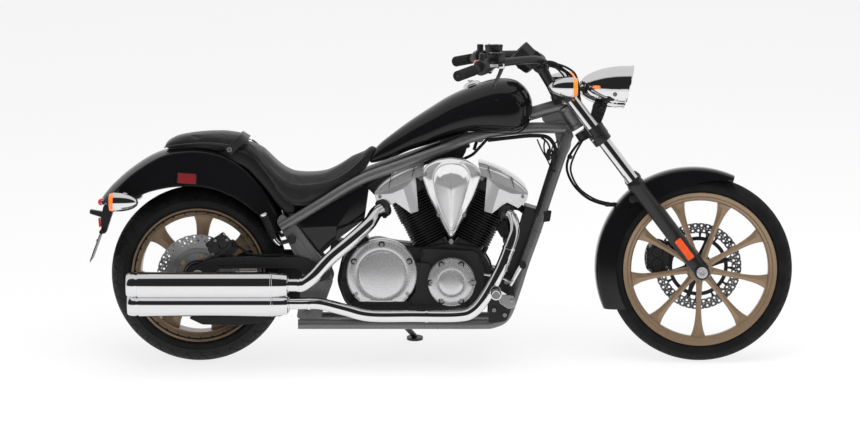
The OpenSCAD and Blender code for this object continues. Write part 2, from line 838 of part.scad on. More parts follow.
module front_fender_body() {
  loft([for (a = [70:6:202])
    let (inner = front_fender_arc(a, 4))
    concat(front_fender_arc(a, 0), [for (j = [0:20]) inner[20 - j]])], true);
}

// Close fender wrapped round the tyre, between the sliders' stays.
module front_fender() {
  color(black) posed() difference() {
    front_fender_body();
    both_sides() fork_stays(9 + gap, gap);
    rod([wheelbase - 342, -20, 566], [wheelbase - 299 + gap, -20, 566], 5.25);
  }
}

// Caliper on the left leg.
module front_caliper() {
  color(black) posed() difference() {
    union() {
      translate([wheelbase - 158, disc_y - 38, front_z + 30])
        rotate([0, 20, 0])
          translate([-30, 0, -58])
            cube([60, 64, 116]);
      side_plate([for (p = [[-145, 320], [-145, 400], [-75, 440], [-45, 400]]) p + [wheelbase, 0]],
                 disc_y + 8, disc_y + 20);
    }
    cross_bar(wheelbase, front_z, disc_y - 11, disc_y + 5, front_disc_r + 7);
    cross_bar(wheelbase, front_z, disc_y - 48, disc_y - 11, front_disc_r - 34);
    both_sides() rod(fork_at(200, fork_half), fork_at(700, fork_half), slider_r + gap);
  }
}

bar_r = 14;
bar_centre = [neck_x - 118, 0, grip_z + 13];
grip_in = [neck_x - 329, bar_half - 130, grip_z + 23];
grip_out = [neck_x - 414, bar_half, grip_z];
bar_path = [bar_centre + [0, 30, 0], bar_centre + [0, 62, 2], bar_centre + [10, 92, 16],
            bar_centre + [-20, 150, 28], [neck_x - 214, bar_half / 2, grip_z + 39],
            grip_in + [51, -40, 10], grip_in, grip_in + (grip_out - grip_in) / 3,
            grip_in + (grip_out - grip_in) * 2 / 3, grip_out];
bar_last = len(bar_path) - 1;

// Swept-back bar on two risers.
module handlebar() {
  color(black) posed() {
    bent_bar(concat([for (i = [0:bar_last]) let (q = bar_path[bar_last - i]) [q[0], -q[1], q[2]]],
                    bar_path), bar_r, 16, 4);
    both_sides() difference() {
      rod([neck_x - 54, 46, upper_clamp_z], bar_centre + [4, 46, 10], 17);
      clamp(upper_clamp_z, 26 + 2 * gap, 34 + gap);
    }
  }
}

grip_dir = unit(grip_out - grip_in);

// Rubber grips.
module grips() {
  color(rubber) posed() both_sides() difference() {
    rod(grip_out - 100 * grip_dir, grip_out + 6 * grip_dir, 19);
    rod(grip_out - 130 * grip_dir, grip_out + gap * grip_dir, bar_r + gap);
  }
}

mirror_boss = grip_in + [1, -4, 4];
mirror_boss_h = 44;
mirror_r = 4.25;                    // M10 x 1.25 tapping size
mirror_depth = 16;

// Switch pods, levers, fluid reservoirs and tapped mirror bosses.
module hand_controls() {
  color(black) posed() both_sides() {
    difference() {
      union() {
        rod(grip_in + [-15, 22, -4], grip_in + [11, -6, 3], 27);
        rod(grip_in + [25, -22, 8], grip_in + [59, -48, 12], 22);
        translate(grip_in + [37, -48, 22]) cylinder(h = 30, r = 26);
        translate(mirror_boss) cylinder(h = mirror_boss_h, r = 12);
      }
      bent_bar(bar_path, bar_r + gap, 16, 4);
      translate(mirror_boss + [0, 0, mirror_boss_h - mirror_depth]) cylinder(h = 40, r = mirror_r);
    }
    rod(grip_in + [71, -34, 0], grip_in + [45, 10, -18], 7);
    rod(grip_in + [45, 10, -18], grip_in + [-5, 110, -42], 6);
    translate(grip_in + [-5, 110, -42]) sphere(r = 8);
  }
}

// Small instrument pod between the risers, dial towards the rider.
module instrument_pod() {
  color(black) posed() difference() {
    union() {
      translate(bar_centre + [-76, 0, 50]) rotate([0, -45, 0]) translate([0, 0, -72]) {
        cylinder(h = 40, r1 = 24, r2 = 37);
        translate([0, 0, 40]) cylinder(h = 36, r = 40);
      }
      side_plate([for (p = [[-46, 42], [-12, 52], [24, 14], [20, -20], [-40, -10]])
                  p + [bar_centre[0], bar_centre[2]]], -26, 26);
    }
    cross_bar(bar_centre[0], bar_centre[2], -60, 60, bar_r + gap);
  }
}

lamp_z = 990;
lamp_x = neck_x + 28;                // back of the shell

// Long chrome headlight shell with its bracket.
module headlight() {
  color(chrome) posed() {
    difference() {
      translate([lamp_x, 0, lamp_z]) rotate([0, 90, 0]) rotate_extrude()
        polygon([[0, 0], [30, 2], [48, 12], [62, 34], [71, 68], [75, 106], [76, 140], [76, 186], [0, 186]]);
      translate([lamp_x + 152, -100, lamp_z - 76]) rotate([0, 13, 0]) translate([0, 0, -40]) cube([100, 200, 300]);
    }
    difference() {
      side_plate([for (p = [[52, 925], [98, 925], [68, 836], [44, 836]]) p + [lamp_x, 0]], -16, 16);
      translate([lamp_x, 0, lamp_z]) rotate([0, 90, 0]) cylinder(h = 190, r = 74);
      both_sides() clamp(lower_clamp_z, 32, 36 + gap);
      rod([fork_at(lower_clamp_z, 0)[0], -200, lower_clamp_z], [fork_at(lower_clamp_z, 0)[0], 200, lower_clamp_z], 20 + gap);
      translate([lamp_x - 72, -50, lower_clamp_z - 17]) cube([200, 100, 34]);
    }
  }
}

// Lens in the headlight's slanted mouth.
module headlight_lens() {
  color([0.85, 0.9, 0.95]) posed() intersection() {
    translate([lamp_x, 0, lamp_z]) rotate([0, 90, 0]) cylinder(h = 300, r = 73);
    translate([lamp_x + 152, -100, lamp_z - 76]) rotate([0, 13, 0]) translate([gap, 0, -40]) cube([5, 200, 300]);
  }
}

// Front direction lamps on stalks from the upper clamp.
module front_turn_signals() {
  color(chrome) posed() both_sides() {
    translate([neck_x - 6, fork_half + 56, 1000]) bullet_lamp(84, 36, -1);
    translate([neck_x - 6, fork_half + 56, 1000]) rotate([0, 90, 0]) cylinder(h = 18, r1 = 35, r2 = 26);
    difference() {
      rod([neck_x - 22, fork_half + 26, 986], fork_at(968, fork_half - 6), 9);
      rod(fork_at(900, fork_half), fork_at(1020, fork_half), fork_tube_r + gap);
    }
  }
}

// Brake line and cables between the bars, the clamps and the front wheel.
module control_cables() {
  color(rubber) posed() {
    bent_bar([[neck_x + 28, 44, 790], [neck_x - 8, 36, 740], [neck_x - 18, 20, 690],
              [neck_x + 8, 0, 634], [neck_x + 60, -14, 588], [wheelbase - 335, -20, 566],
              [wheelbase - 299, -20, 566]], 5, 8, 4);
    both_sides()
      bent_bar([grip_in + [58.6, -64.3, 40], grip_in + [93, -88, 50], [neck_x - 184, 192, 1138],
                [neck_x - 112, 150, 1132], [neck_x - 34, 112, 1100], [neck_x + 24, 84, 1056],
                [neck_x + 56, 60, 1036]], 4, 8, 4);
  }
}

// ---- wheels ----

front_rim_w = 74;
hub_half = fork_half - 57;          // front hub's half length
rear_rim_w = 184;

module around(x, z) {
  translate([x, 0, z])
    rotate([90, 0, 0])
      children();
}

// Tyre section: rounded tread, bulged walls and a hollow inside.
module tyre_ring(r, w, crown, flange, rim_w) {
  edge = asin(0.96 * w / 2 / crown);
  shoulder = r - crown + crown * cos(edge);
  wall = (shoulder + flange) / 2 + 4;
  seat_r = flange - 14;
  bead = rim_w / 2 - 5 - gap;
  half = [[wall, w / 2], [flange + 6, w / 2 - 3], [flange + 1, bead + 2], [flange + gap, bead],
          [seat_r, bead - 2]];
  rotate_extrude($fn = 96)
    difference() {
      polygon(concat(
        [for (i = [-8:8]) [r - crown + crown * cos(edge * i / 8), crown * sin(edge * i / 8)]],
        half, [for (i = [4:-1:0]) [half[i][0], -half[i][1]]]));
      polygon([[seat_r - 1, bead - 12], [shoulder - 8, w / 2 - 12], [r - 14, w / 5],
               [r - 14, -w / 5], [shoulder - 8, 12 - w / 2], [seat_r - 1, 12 - bead]]);
    }
}

module spokes(count, first, r0, r1, w0, w1, t) {
  for (i = [0:count - 1])
    rotate([0, 0, first + 360 * i / count])
      translate([0, 0, -t / 2])
        linear_extrude(height = t)
          polygon([[r0, -w0 / 2], [r1 * 0.72, -w0 * 0.62], [r1, -w1 / 2], [r1, w1 / 2],
                   [r1 * 0.72, w0 * 0.62], [r0, w0 / 2]]);
}

module rim_ring(flange, w) {
  rotate_extrude($fn = 96)
    polygon([[flange - 26, -w / 2 + 30], [flange - 18, -w / 2], [flange, -w / 2 + 0.7],
             [flange, -w / 2 + 5], [flange - 14.4, -w / 2 + 7], [flange - 20, -w / 2 + 26],
             [flange - 20, w / 2 - 26], [flange - 14.4, w / 2 - 7], [flange, w / 2 - 5],
             [flange, w / 2 - 0.7], [flange - 18, w / 2], [flange - 26, w / 2 - 30]]);
}

// Cast front wheel.
module front_rim() {
  color(bronze) posed() around(wheelbase, front_z) difference() {
    union() {
      rim_ring(front_flange_r, front_rim_w);
      spokes(front_spokes, -91, 34, front_flange_r - 23, 24, 54, 26);
      cylinder(h = 2 * hub_half, r = 44, center = true);
    }
    cylinder(h = 200, r = axle_r + play, center = true);
  }
}

// Front tyre.
module front_tyre() {
  color(rubber) posed() around(wheelbase, front_z)
    tyre_ring(front_tyre_r, front_tyre_w, front_crown_r, front_flange_r, front_rim_w);
}

// Front brake disc on the left.
module front_disc() {
  color(silver) posed() around(wheelbase, front_z) translate([0, 0, -disc_y]) difference() {
    union() {
      cylinder(h = 5, r = front_disc_r);
      cylinder(h = disc_y - hub_half - 0.4, r = 50);
    }
    translate([0, 0, -1]) cylinder(h = 40, r = axle_r + 8);
    for (i = [0:5]) rotate([0, 0, 60 * i]) translate([86, 0, -1]) cylinder(h = 10, r = 22);
  }
}

// Cast rear wheel.
module rear_rim() {
  color(bronze) posed() around(0, rear_z) difference() {
    union() {
      rim_ring(rear_flange_r, rear_rim_w);
      spokes(rear_spokes, 85.5, 36, rear_flange_r - 23, 30, 84, 36);
      translate([0, 0, -70]) cylinder(h = 155, r = 42);
    }
    cylinder(h = 300, r = axle_r + play, center = true);
  }
}

// Rear tyre.
module rear_tyre() {
  color(rubber) posed() around(0, rear_z)
    tyre_ring(rear_tyre_r, rear_tyre_w, rear_crown_r, rear_flange_r, rear_rim_w);
}

// Rear brake disc on the right.
module rear_disc() {
  color(silver) posed() around(0, rear_z) translate([0, 0, 85.3]) difference() {
    union() {
      cylinder(h = 12.7, r = 46);
      translate([0, 0, 6.7]) cylinder(h = 6, r = rear_disc_r);
    }
    translate([0, 0, -1]) cylinder(h = 40, r = axle_r + 8);
    for (i = [0:5]) rotate([0, 0, 60 * i]) translate([80, 0, -1]) cylinder(h = 30, r = 20);
  }
}

// ---- stand ----

stand_pivot = [700, 152, 150];
stand_foot = [776, 272, 272 * tan(lean) + 10];
stand_stowed = [-170, 20, 15];      // direction of the leg when folded back
stand_axis = unit(cross(stand_foot - stand_pivot, stand_stowed));
pin_r = 6;

function stand_at(t) = stand_pivot + t * (stand_foot - stand_pivot);

// Side stand, swung out to the left.
module side_stand() {
  color(black) posed() {
    difference() {
      union() {
        rod(stand_pivot, stand_at(0.2), 6.5);
        rod(stand_at(0.13), stand_foot, 10);
        rod(stand_pivot - 7 * stand_axis, stand_pivot + 7 * stand_axis, 15);
      }
      rod(stand_pivot - 40 * stand_axis, stand_pivot + 40 * stand_axis, pin_r + play);
    }
    translate([stand_foot[0], stand_foot[1], stand_foot[1] * tan(lean)])
      rotate([lean, 0, 0])
        cylinder(h = 9, r = 30);
  }
}

stand_in = unit(cross(stand_axis, cross([0, -1, 0], stand_axis)));

// Clevis and pin that carry the side stand.
module stand_bracket() {
  color(gunmetal) posed() difference() {
    union() {
      for (s = [-1, 1])
        hull() {
          rod(stand_pivot + 8 * s * stand_axis, stand_pivot + 15 * s * stand_axis, 13, $fn = 32);
          rod(stand_pivot + 8 * s * stand_axis + 25 * stand_in,
              stand_pivot + 15 * s * stand_axis + 25 * stand_in, 8, $fn = 32);
        }
      rod(stand_pivot - 15 * stand_axis + 25 * stand_in,
          stand_pivot + 15 * stand_axis + 25 * stand_in, 7);
      rod(stand_pivot - 18 * stand_axis, stand_pivot + 18 * stand_axis, pin_r);
      rod(stand_pivot + 25 * stand_in, [stand_pivot[0] + 4, rail_half, lower_rail_z], 5.5);
      translate([stand_pivot[0] - 30, rail_half + frame_r - 4, lower_rail_z - 8]) cube([60, 8, 24]);
    }
    rod([600, rail_half, lower_rail_z], [800, rail_half, lower_rail_z], frame_r + gap);
  }
}

steering_head();
frame_backbone();
frame_upper_rails();
frame_downtubes();
frame_lower_rails();
pivot_plates();
battery_box();
side_covers();
swingarm();
final_drive();
rear_axle();
rear_caliper();
fuel_tank();
fuel_cap();
seat();
pillion_seat();
rear_fender();
tail_light();
plate_holder();
rear_turn_signals();
crankcase();
clutch_cover();
timing_cover();
alternator_cover();
cylinder_front();
cylinder_rear();
rocker_cover_front();
rocker_cover_rear();
air_cleaner();
throttle_body();
radiator();
front_header();
rear_header();
mufflers();
forward_controls();
passenger_pegs();
wiring_loom();
triple_clamps();
fork_tubes();
fork_sliders();
front_axle();
front_fender();
front_caliper();
handlebar();
grips();
hand_controls();
instrument_pod();
headlight();
headlight_lens();
front_turn_signals();
control_cables();
front_rim();
front_tyre();
front_disc();
rear_rim();
rear_tyre();
rear_disc();
side_stand();
stand_bracket();
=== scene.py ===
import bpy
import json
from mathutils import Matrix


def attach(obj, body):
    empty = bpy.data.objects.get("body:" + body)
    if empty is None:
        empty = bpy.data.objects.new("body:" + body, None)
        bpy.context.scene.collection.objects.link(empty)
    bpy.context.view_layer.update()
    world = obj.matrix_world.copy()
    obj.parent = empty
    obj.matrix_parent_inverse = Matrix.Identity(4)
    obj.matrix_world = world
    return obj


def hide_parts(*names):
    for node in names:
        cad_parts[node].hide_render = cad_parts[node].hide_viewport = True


bl_info = {
    "name": "Chopper motorcycle",
    "version": (1, 0, 0),
    "blender": (4, 5, 0),
    "location": "3D View > Sidebar > Chopper",
    "description": "Builds the bodywork, engine dressing, wheels and studio of a parked chopper motorcycle",
    "category": "Add Mesh",
}

import json
from math import atan2, cos, pi, radians, sin, tan

import bmesh
import bpy
import numpy as np
from mathutils import Vector

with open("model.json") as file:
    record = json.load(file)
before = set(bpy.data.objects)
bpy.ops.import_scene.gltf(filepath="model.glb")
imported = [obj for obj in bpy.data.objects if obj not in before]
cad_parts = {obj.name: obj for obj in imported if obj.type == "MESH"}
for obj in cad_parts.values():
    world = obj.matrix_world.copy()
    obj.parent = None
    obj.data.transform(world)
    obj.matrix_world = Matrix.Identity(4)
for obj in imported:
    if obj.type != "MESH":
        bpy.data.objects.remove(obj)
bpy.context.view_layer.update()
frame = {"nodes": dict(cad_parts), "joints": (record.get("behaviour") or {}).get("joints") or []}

# ---- the machine's own frame ----
# Sizes below are millimetres in the upright machine: x forward from the rear axle, y to the
# rider's left of the centre plane, z up from the ground line. placed() leans and moves them.

MM = 0.001
FORWARD, BACK = (1, 0, 0), (-1, 0, 0)
LEFT, RIGHT = (0, 1, 0), (0, -1, 0)
UP = (0, 0, 1)
SIDES = (-1, 1)
JOINTS = {joint["name"]: joint for joint in frame["joints"]}
REAR_AXLE = np.array(JOINTS["rear_wheel_spin"]["pos_m"])
FRONT_AXLE = np.array(JOINTS["front_wheel_spin"]["pos_m"])
ACROSS = np.array(JOINTS["rear_wheel_spin"]["axis"])
AHEAD = np.array([1.0, 0.0, 0.0])
UPWARD = np.cross(AHEAD, ACROSS)
LEAN = atan2(UPWARD[1], UPWARD[2])
REAR_Z = REAR_AXLE[2] / UPWARD[2] / MM
FRONT_Z = FRONT_AXLE[2] / UPWARD[2] / MM
GROUND = REAR_AXLE - UPWARD * REAR_Z * MM
WHEELBASE = (FRONT_AXLE - REAR_AXLE)[0] / MM


def placed(points):
    """Machine millimetres to row metres: ground point plus x, y and z times the three unit axes."""
    p = np.asarray(points, float) * MM
    return GROUND + p[..., :1] * AHEAD + p[..., 1:2] * ACROSS + p[..., 2:3] * UPWARD


# ---- curves and sections ----


def unit(v):
    """Each vector divided by its length."""
    v = np.asarray(v, float)
    return v / np.maximum(np.linalg.norm(v, axis=-1, keepdims=True), 1e-9)


def spline(points, steps=8):
    """Catmull-Rom curve through the rows of points, steps pieces a span, ends held."""
    p = np.asarray(points, float)
    q = np.concatenate([p[:1], p, p[-1:]])
    t = (np.arange(steps) / steps).reshape((1, steps) + (1,) * (p.ndim - 1))
    a, b, c, d = (q[i : i + len(p) - 1, None] for i in range(4))
    spans = 0.5 * (2 * b + (c - a) * t + (2 * a - 5 * b + 4 * c - d) * t**2 + (3 * b - a - 3 * c + d) * t**3)
    return np.concatenate([spans.reshape((-1,) + p.shape[1:]), p[-1:]])


def softened(outline, radius, steps=5):
    """Closed outline with each corner replaced by a parabola that leaves radius before and after it."""
    p = np.asarray(outline, float)
    back, on = np.roll(p, 1, axis=0) - p, np.roll(p, -1, axis=0) - p
    room = 0.45 * np.minimum(np.linalg.norm(back, axis=1), np.linalg.norm(on, axis=1))
    r = np.minimum(np.asarray(radius, float) * np.ones(len(p)), room)[:, None]
    a, b = p + unit(back) * r, p + unit(on) * r
    t = np.linspace(0, 1, steps + 1).reshape(1, -1, 1)
    arcs = (1 - t) ** 2 * a[:, None] + 2 * t * (1 - t) * p[:, None] + t**2 * b[:, None]
    return arcs.reshape(-1, p.shape[1])


def circle(radius, n=24, squash=1.0):
    """n points round the origin at the radius, the second axis times squash."""
    a = np.arange(n) * 2 * pi / n
    return np.stack([radius * np.cos(a), radius * squash * np.sin(a)], -1)


def polar(outline, centre, angles):
    """Distance from the centre to a star-shaped closed outline in each direction."""
    d = np.asarray(outline, float) - centre
    a, r = np.arctan2(d[:, 1], d[:, 0]), np.linalg.norm(d, axis=1)
    order = np.argsort(a)
    return np.interp(angles, a[order], r[order], period=2 * pi)


def carried(path, up=None):
    """Two unit normals at each point of a path, carried along it without twist, or held to up."""
    path = np.asarray(path, float)
    t = unit(np.gradient(path, axis=0))
    if up is not None:
        u = unit(np.cross(t, up))
        return u, np.cross(t, u)
    first = np.cross(t[0], (0, 0, 1) if abs(t[0][1]) > 0.7 else (0, 1, 0))
    rows = [unit(first)]
    for tangent in t[1:]:
        rows.append(unit(rows[-1] - np.dot(rows[-1], tangent) * tangent))
    u = np.array(rows)
    return u, np.cross(t, u)


def sweep(path, section, up=None):
    """Grid of points: each path point plus the section's two offsets along the carried normals."""
    path = np.asarray(path, float)
    section = np.asarray(section, float)
    if section.ndim == 2:
        section = np.broadcast_to(section, (len(path),) + section.shape)
    u, v = carried(path, up)
    return path[:, None] + section[..., :1] * u[:, None] + section[..., 1:2] * v[:, None]


def lathe(profile, centre, axis, n=64, start=0.0):
    """Grid of points: each (radius, height) of the profile turned about the axis through the centre."""
    profile = np.asarray(profile, float)
    axis = unit(axis)
    side = unit(np.cross(axis, (0, 0, 1) if abs(axis[2]) < 0.9 else (1, 0, 0)))
    other = np.cross(axis, side)
    a = np.arange(n) * 2 * pi / n + start
    wheel = np.cos(a)[:, None] * side + np.sin(a)[:, None] * other
    return np.asarray(centre, float) + profile[:, None, 1:] * axis + profile[:, None, :1] * wheel[None]


def about(points, centre, angle, axis=LEFT):
    """Points turned about an axis through the centre by an angle in degrees."""
    k, a = unit(axis), radians(angle)
    d = np.asarray(points, float) - centre
    turned = d * cos(a) + np.cross(k, d) * sin(a) + k * (d @ k)[..., None] * (1 - cos(a))
    return turned + centre


def mirrored(points):
    """The same points on the machine's other side."""
    return np.asarray(points, float) * (1, -1, 1)


def at_y(outline, y):
    """Side-view points (x, z) as 3-D points at one y."""
    o = np.asarray(outline, float)
    return np.stack([o[:, 0], np.full(len(o), float(y)), o[:, 1]], -1)


class Skin:
    """Points and faces of one piece, gathered from grids, caps and closed solids."""

    def __init__(self):
        self.points, self.faces, self.count = [], [], 0

    def _add(self, points):
        flat = np.asarray(points, float).reshape(-1, 3)
        first = self.count
        self.points.append(flat)
        self.count += len(flat)
        return first

    def grid(self, points, round_u=False, round_v=False):
        """Quads between neighbours of a grid of points, closed round either way."""
        points = np.asarray(points, float)
        m, n = points.shape[:2]
        index = self._add(points) + np.arange(m * n).reshape(m, n)
        index = np.vstack([index, index[:1]]) if round_u else index
        index = np.hstack([index, index[:, :1]]) if round_v else index
        quads = np.stack([index[:-1, :-1], index[1:, :-1], index[1:, 1:], index[:-1, 1:]], -1)
        self.faces += quads.reshape(-1, 4).tolist()
        return self

    def cap(self, ring):
        """One face over a ring of points."""
        first = self._add(ring)
        self.faces.append(list(range(first, first + len(ring))))
        return self

    def rod(self, path, section, up=None):
        """Closed solid: a section carried along a path, with flat ends."""
        g = sweep(path, circle(section, 24) if np.isscalar(section) else section, up)
        return self.grid(g, round_v=True).cap(g[0]).cap(g[-1])

    def turned(self, profile, centre, axis, n=64, start=0.0):
        """Solid of revolution whose profile begins and ends on the axis, or closes on itself."""
        return self.grid(lathe(profile, centre, axis, n, start), round_v=True)

    def ring(self, profile, centre, axis, n=64, start=0.0):
        """Ring of revolution whose profile closes on itself."""
        return self.grid(lathe(profile, centre, axis, n, start), round_u=True, round_v=True)

    def loft(self, rings):
        """Closed solid over rings of points, with flat ends."""
        rings = np.asarray(rings, float)
        return self.grid(rings, round_v=True).cap(rings[0]).cap(rings[-1])

    def slab(self, outline, y0, y1):
        """Plate of a side-view outline between two distances from the centre plane."""
        return self.loft([at_y(outline, y0), at_y(outline, y1)])

    def plate(self, outline, soft, y0, y1):
        """Slab whose outline has its corners softened."""
        return self.slab(softened(outline, soft), y0, y1)

    def tube(self, points, radius, n=24, steps=8):
        """Round rod along the curve through some points."""
        return self.rod(spline(points, steps), circle(radius, n))

    def ribbed(self, start, end, core, ribs, centre, axis, count, n):
        """Sleeve from start to end along its axis: the core radius, more where the ribs' function says."""
        s = np.linspace(start, end, count)
        profile = np.vstack([[(0, start)], np.stack([core + ribs(s), s], -1), [(0, end)]])
        return self.turned(profile, centre, axis, n)

    def block(self, centre, size, turn=0.0):
        """Box by its centre and size, turned about the y axis through its centre."""
        x, y, z = np.asarray(size, float) / 2
        corners = np.array([(-x, -z), (x, -z), (x, z), (-x, z)])
        rings = np.array([at_y(corners, -y), at_y(corners, y)]) + centre
        return self.loft(about(rings, np.asarray(centre, float), turn))

    def ball(self, centre, radius, n=16):
        """Sphere as a half circle turned about its upright."""
        a = np.linspace(-pi / 2, pi / 2, n // 2 + 1)
        return self.turned(np.stack([radius * np.cos(a), radius * np.sin(a)], -1), centre, UP, n)

    def bolt(self, centre, axis, radius=7, height=5, socket=True):
        """Cap screw: a rounded head with a six-sided socket, its axis pointing out of the work."""
        r, h = radius, height
        rim = [(0, -h), (r, -h), (r, 0.7 * h), (0.86 * r, h)]
        inner = [(0.4 * r, 1.15 * h), (0, 1.2 * h)]
        if socket:
            inner = [(0.5 * r, h), (0.48 * r, 0.2 * h), (0, 0.2 * h)]
        return self.turned(rim + inner, centre, axis, 18)

    def hexagon(self, centre, axis, radius=9, height=7):
        """Hexagon head on a washer."""
        self.turned([(0, 0), (1.35 * radius, 0), (1.35 * radius, 2), (0, 2)], centre, axis, 24)
        return self.turned([(0, 1), (radius, 1), (radius, height), (0, height)], centre, axis, 6)

    def twice(self):
        """Adds the mirror image on the machine's other side."""
        points, faces, first = np.vstack(self.points), list(self.faces), self.count
        self._add(mirrored(points))
        self.faces += [[first + i for i in face] for face in faces]
        return self

    def moved(self, change):
        """Changes every point by a function of the whole array."""
        self.points = [change(np.vstack(self.points))]
        return self


def new_mesh(name, points, faces, crease=32):
    """Mesh in row metres, doubles merged, faces outwards, edges over the crease angle kept sharp."""
    mesh = bpy.data.meshes.new(name)
    mesh.from_pydata(points, [], faces)
    work = bmesh.new()
    work.from_mesh(mesh)
    bmesh.ops.remove_doubles(work, verts=work.verts, dist=2e-6)
    bmesh.ops.dissolve_degenerate(work, edges=work.edges, dist=1e-7)
    bmesh.ops.recalc_face_normals(work, faces=work.faces)
    work.to_mesh(mesh)
    work.free()
    mesh.shade_smooth()
    mesh.set_sharp_from_angle(angle=radians(crease))
    return mesh


def piece(name, skin, finish, body="chassis", replaces=(), bevel=0.0, crease=32, segments=2):
    """Object of a skin in its finish, riding on a body; bevel rounds its sharp edges, in mm."""
    points = placed(np.vstack(skin.points))
    obj = bpy.data.objects.new(name, new_mesh(name, points, skin.faces, crease))
    bpy.context.scene.collection.objects.link(obj)
    obj.data.materials.append(MATERIALS[finish][0])
    if bevel:
        rounding = obj.modifiers.new("rounded edges", "BEVEL")
        rounding.width = bevel * MM
        rounding.segments = segments
        rounding.limit_method = "ANGLE"
        rounding.angle_limit = radians(crease)
        rounding.harden_normals = True
    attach(obj, body)
    if replaces:
        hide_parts(*replaces)
    return obj


def dressed(finish, *nodes):
    """Gives CAD nodes that stay in view their finish."""
    for node in nodes:
        mesh = frame["nodes"][node].data
        mesh.materials.clear()
        mesh.materials.append(MATERIALS[finish][0])


# ---- finishes ----

MATERIALS = {}


class Wire:
    """A socket that does arithmetic: each operator adds one Math node."""

    def __init__(self, finish, socket):
        self.finish, self.socket = finish, socket

    def _math(self, operation, a, b=None):
        values = {0: a} if b is None else {0: a, 1: b}
        return self.finish.node("Math", {"operation": operation}, values)

    def __add__(self, other):
        return self._math("ADD", self, other)

    def __rsub__(self, other):
        return self._math("SUBTRACT", other, self)

    def __mul__(self, other):
        return self._math("MULTIPLY", self, other)

    __radd__ = __add__
    __rmul__ = __mul__

    def step(self, low, high):
        """0 below low, 1 above high, smooth between."""
        return self.finish.node(
            "MapRange", {"interpolation_type": "SMOOTHSTEP"}, {0: self, 1: low, 2: high, 3: 0.0, 4: 1.0}
        )


class Finish:
    """A material being built around one Principled shader."""

    def __init__(self, name, base, roughness, metallic=0.0, **sockets):
        self.material = bpy.data.materials.new(name)
        self.material.use_nodes = True
        self.tree = self.material.node_tree
        self.shader = self.tree.nodes["Principled BSDF"]
        self.set("Base Color", (*base, 1.0))
        self.set("Roughness", roughness)
        self.set("Metallic", metallic)
        for key, value in sockets.items():
            self.set(key.replace("_", " "), value)
        self.material.diffuse_color = (*base, 1.0)

    def plug(self, socket, value):
        if isinstance(value, Wire):
            self.tree.links.new(value.socket, socket)
        else:
            socket.default_value = value

    def set(self, name, value):
        self.plug(self.shader.inputs[name], value)

    def node(self, kind, settings=None, inputs=None, output=0):
        """A node of a kind: its settings, then its sockets' values or links; gives one output."""
        made = self.tree.nodes.new("ShaderNode" + kind)
        for key, value in (settings or {}).items():
            setattr(made, key, value)
        for key, value in (inputs or {}).items():
            self.plug(made.inputs[key], value)
        return Wire(self, made.outputs[output])

    def place(self, scale=(1, 1, 1), turn=(0, 0, 0), move=(0, 0, 0)):
        """Object coordinates, moved, turned and stretched."""
        here = self.node("TexCoord", output="Object")
        return self.node("Mapping", {}, {0: here, 1: move, 2: turn, 3: scale})

    def noise(self, scale, detail=3.0, rough=0.55, where=None, distortion=0.0):
        where = where or self.place()
        inputs = {"Vector": where, "Scale": scale, "Detail": detail, "Roughness": rough,
                  "Distortion": distortion}
        return self.node("TexNoise", {}, inputs)

    def cells(self, scale, where=None, feature="F1", output=0):
        return self.node("TexVoronoi", {"feature": feature},
                         {"Vector": where or self.place(), "Scale": scale}, output)

    def mix(self, share, a, b):
        """Colour a where share is 0 and b where it is 1."""
        return self.node("Mix", {"data_type": "RGBA"}, {0: share, 6: (*a, 1.0), 7: (*b, 1.0)}, 2)

    def bumps(self, *layers):
        """Normal from layers of (height, depth in mm), one on top of another."""
        normal = None
        for height, depth in layers:
            inputs = {"Strength": 1.0, "Distance": depth * MM, "Height": height}
            if normal is not None:
                inputs["Normal"] = normal
            normal = self.node("Bump", {}, inputs)
        self.set("Normal", normal)

    def done(self, key, slot):
        MATERIALS[key] = (self.material, slot)


def gloss_paint(key, slot, base, name):
    """Deep clear-coated paint: faint orange peel and a little haze."""
    f = Finish(name, base, 0.07, Specular_IOR_Level=0.36)
    haze = f.noise(9.0, 4.0)
    f.set("Roughness", 0.045 + haze * 0.05)
    f.set("Base Color", f.mix(f.noise(900.0, 2.0), base, shaded(base, 1.6)))
    f.bumps((f.noise(190.0, 2.0), 0.035))
    f.done(key, slot)


def flake_paint(key, slot, dark, light, name, roughness=0.34, metallic=0.72):
    """Metallic paint: two tones of flake under a satin coat, slight peel."""
    f = Finish(name, dark, roughness, metallic, Coat_Roughness=0.25)
    flake = f.cells(1500.0, output="Color")
    spread = f.node("SeparateColor", {}, {0: flake})
    mottle = f.noise(16.0, 4.0)
    f.set("Base Color", f.mix(spread * 0.6 + mottle * 0.4, dark, light))
    f.set("Roughness", roughness - 0.05 + mottle * 0.12)
    f.set("Coat Weight", 0.25)
    f.bumps((f.noise(420.0, 2.0), 0.05), (spread, 0.012))
    f.done(key, slot)


def satin_paint(key, slot, base, name, roughness=0.42, grit=520.0, depth=0.06):
    """Powder coat: fine grit and lighter patches a shade apart."""
    f = Finish(name, base, roughness, Specular_IOR_Level=0.45)
    patch = f.noise(24.0, 5.0)
    f.set("Base Color", f.mix(patch, base, shaded(base, 1.7, 0.001)))
    f.set("Roughness", roughness - 0.06 + patch * 0.14)
    f.bumps((f.noise(grit, 3.0), depth))
    f.done(key, slot)


def cast_metal(key, slot, base, name, roughness=0.5, metallic=0.6):
    """Sand-cast metal under paint: pits, grain and soft blotches."""
    f = Finish(name, base, roughness, metallic)
    grain = f.noise(360.0, 4.0, 0.7)
    pits = f.cells(260.0).step(0.1, 0.45)
    blotch = f.noise(14.0, 4.0)
    f.set("Base Color", f.mix(blotch * 0.7 + grain * 0.3, base, shaded(base, 1.7)))
    f.set("Roughness", roughness - 0.08 + grain * 0.18)
    f.bumps((grain, 0.18), (pits, 0.06))
    f.done(key, slot)


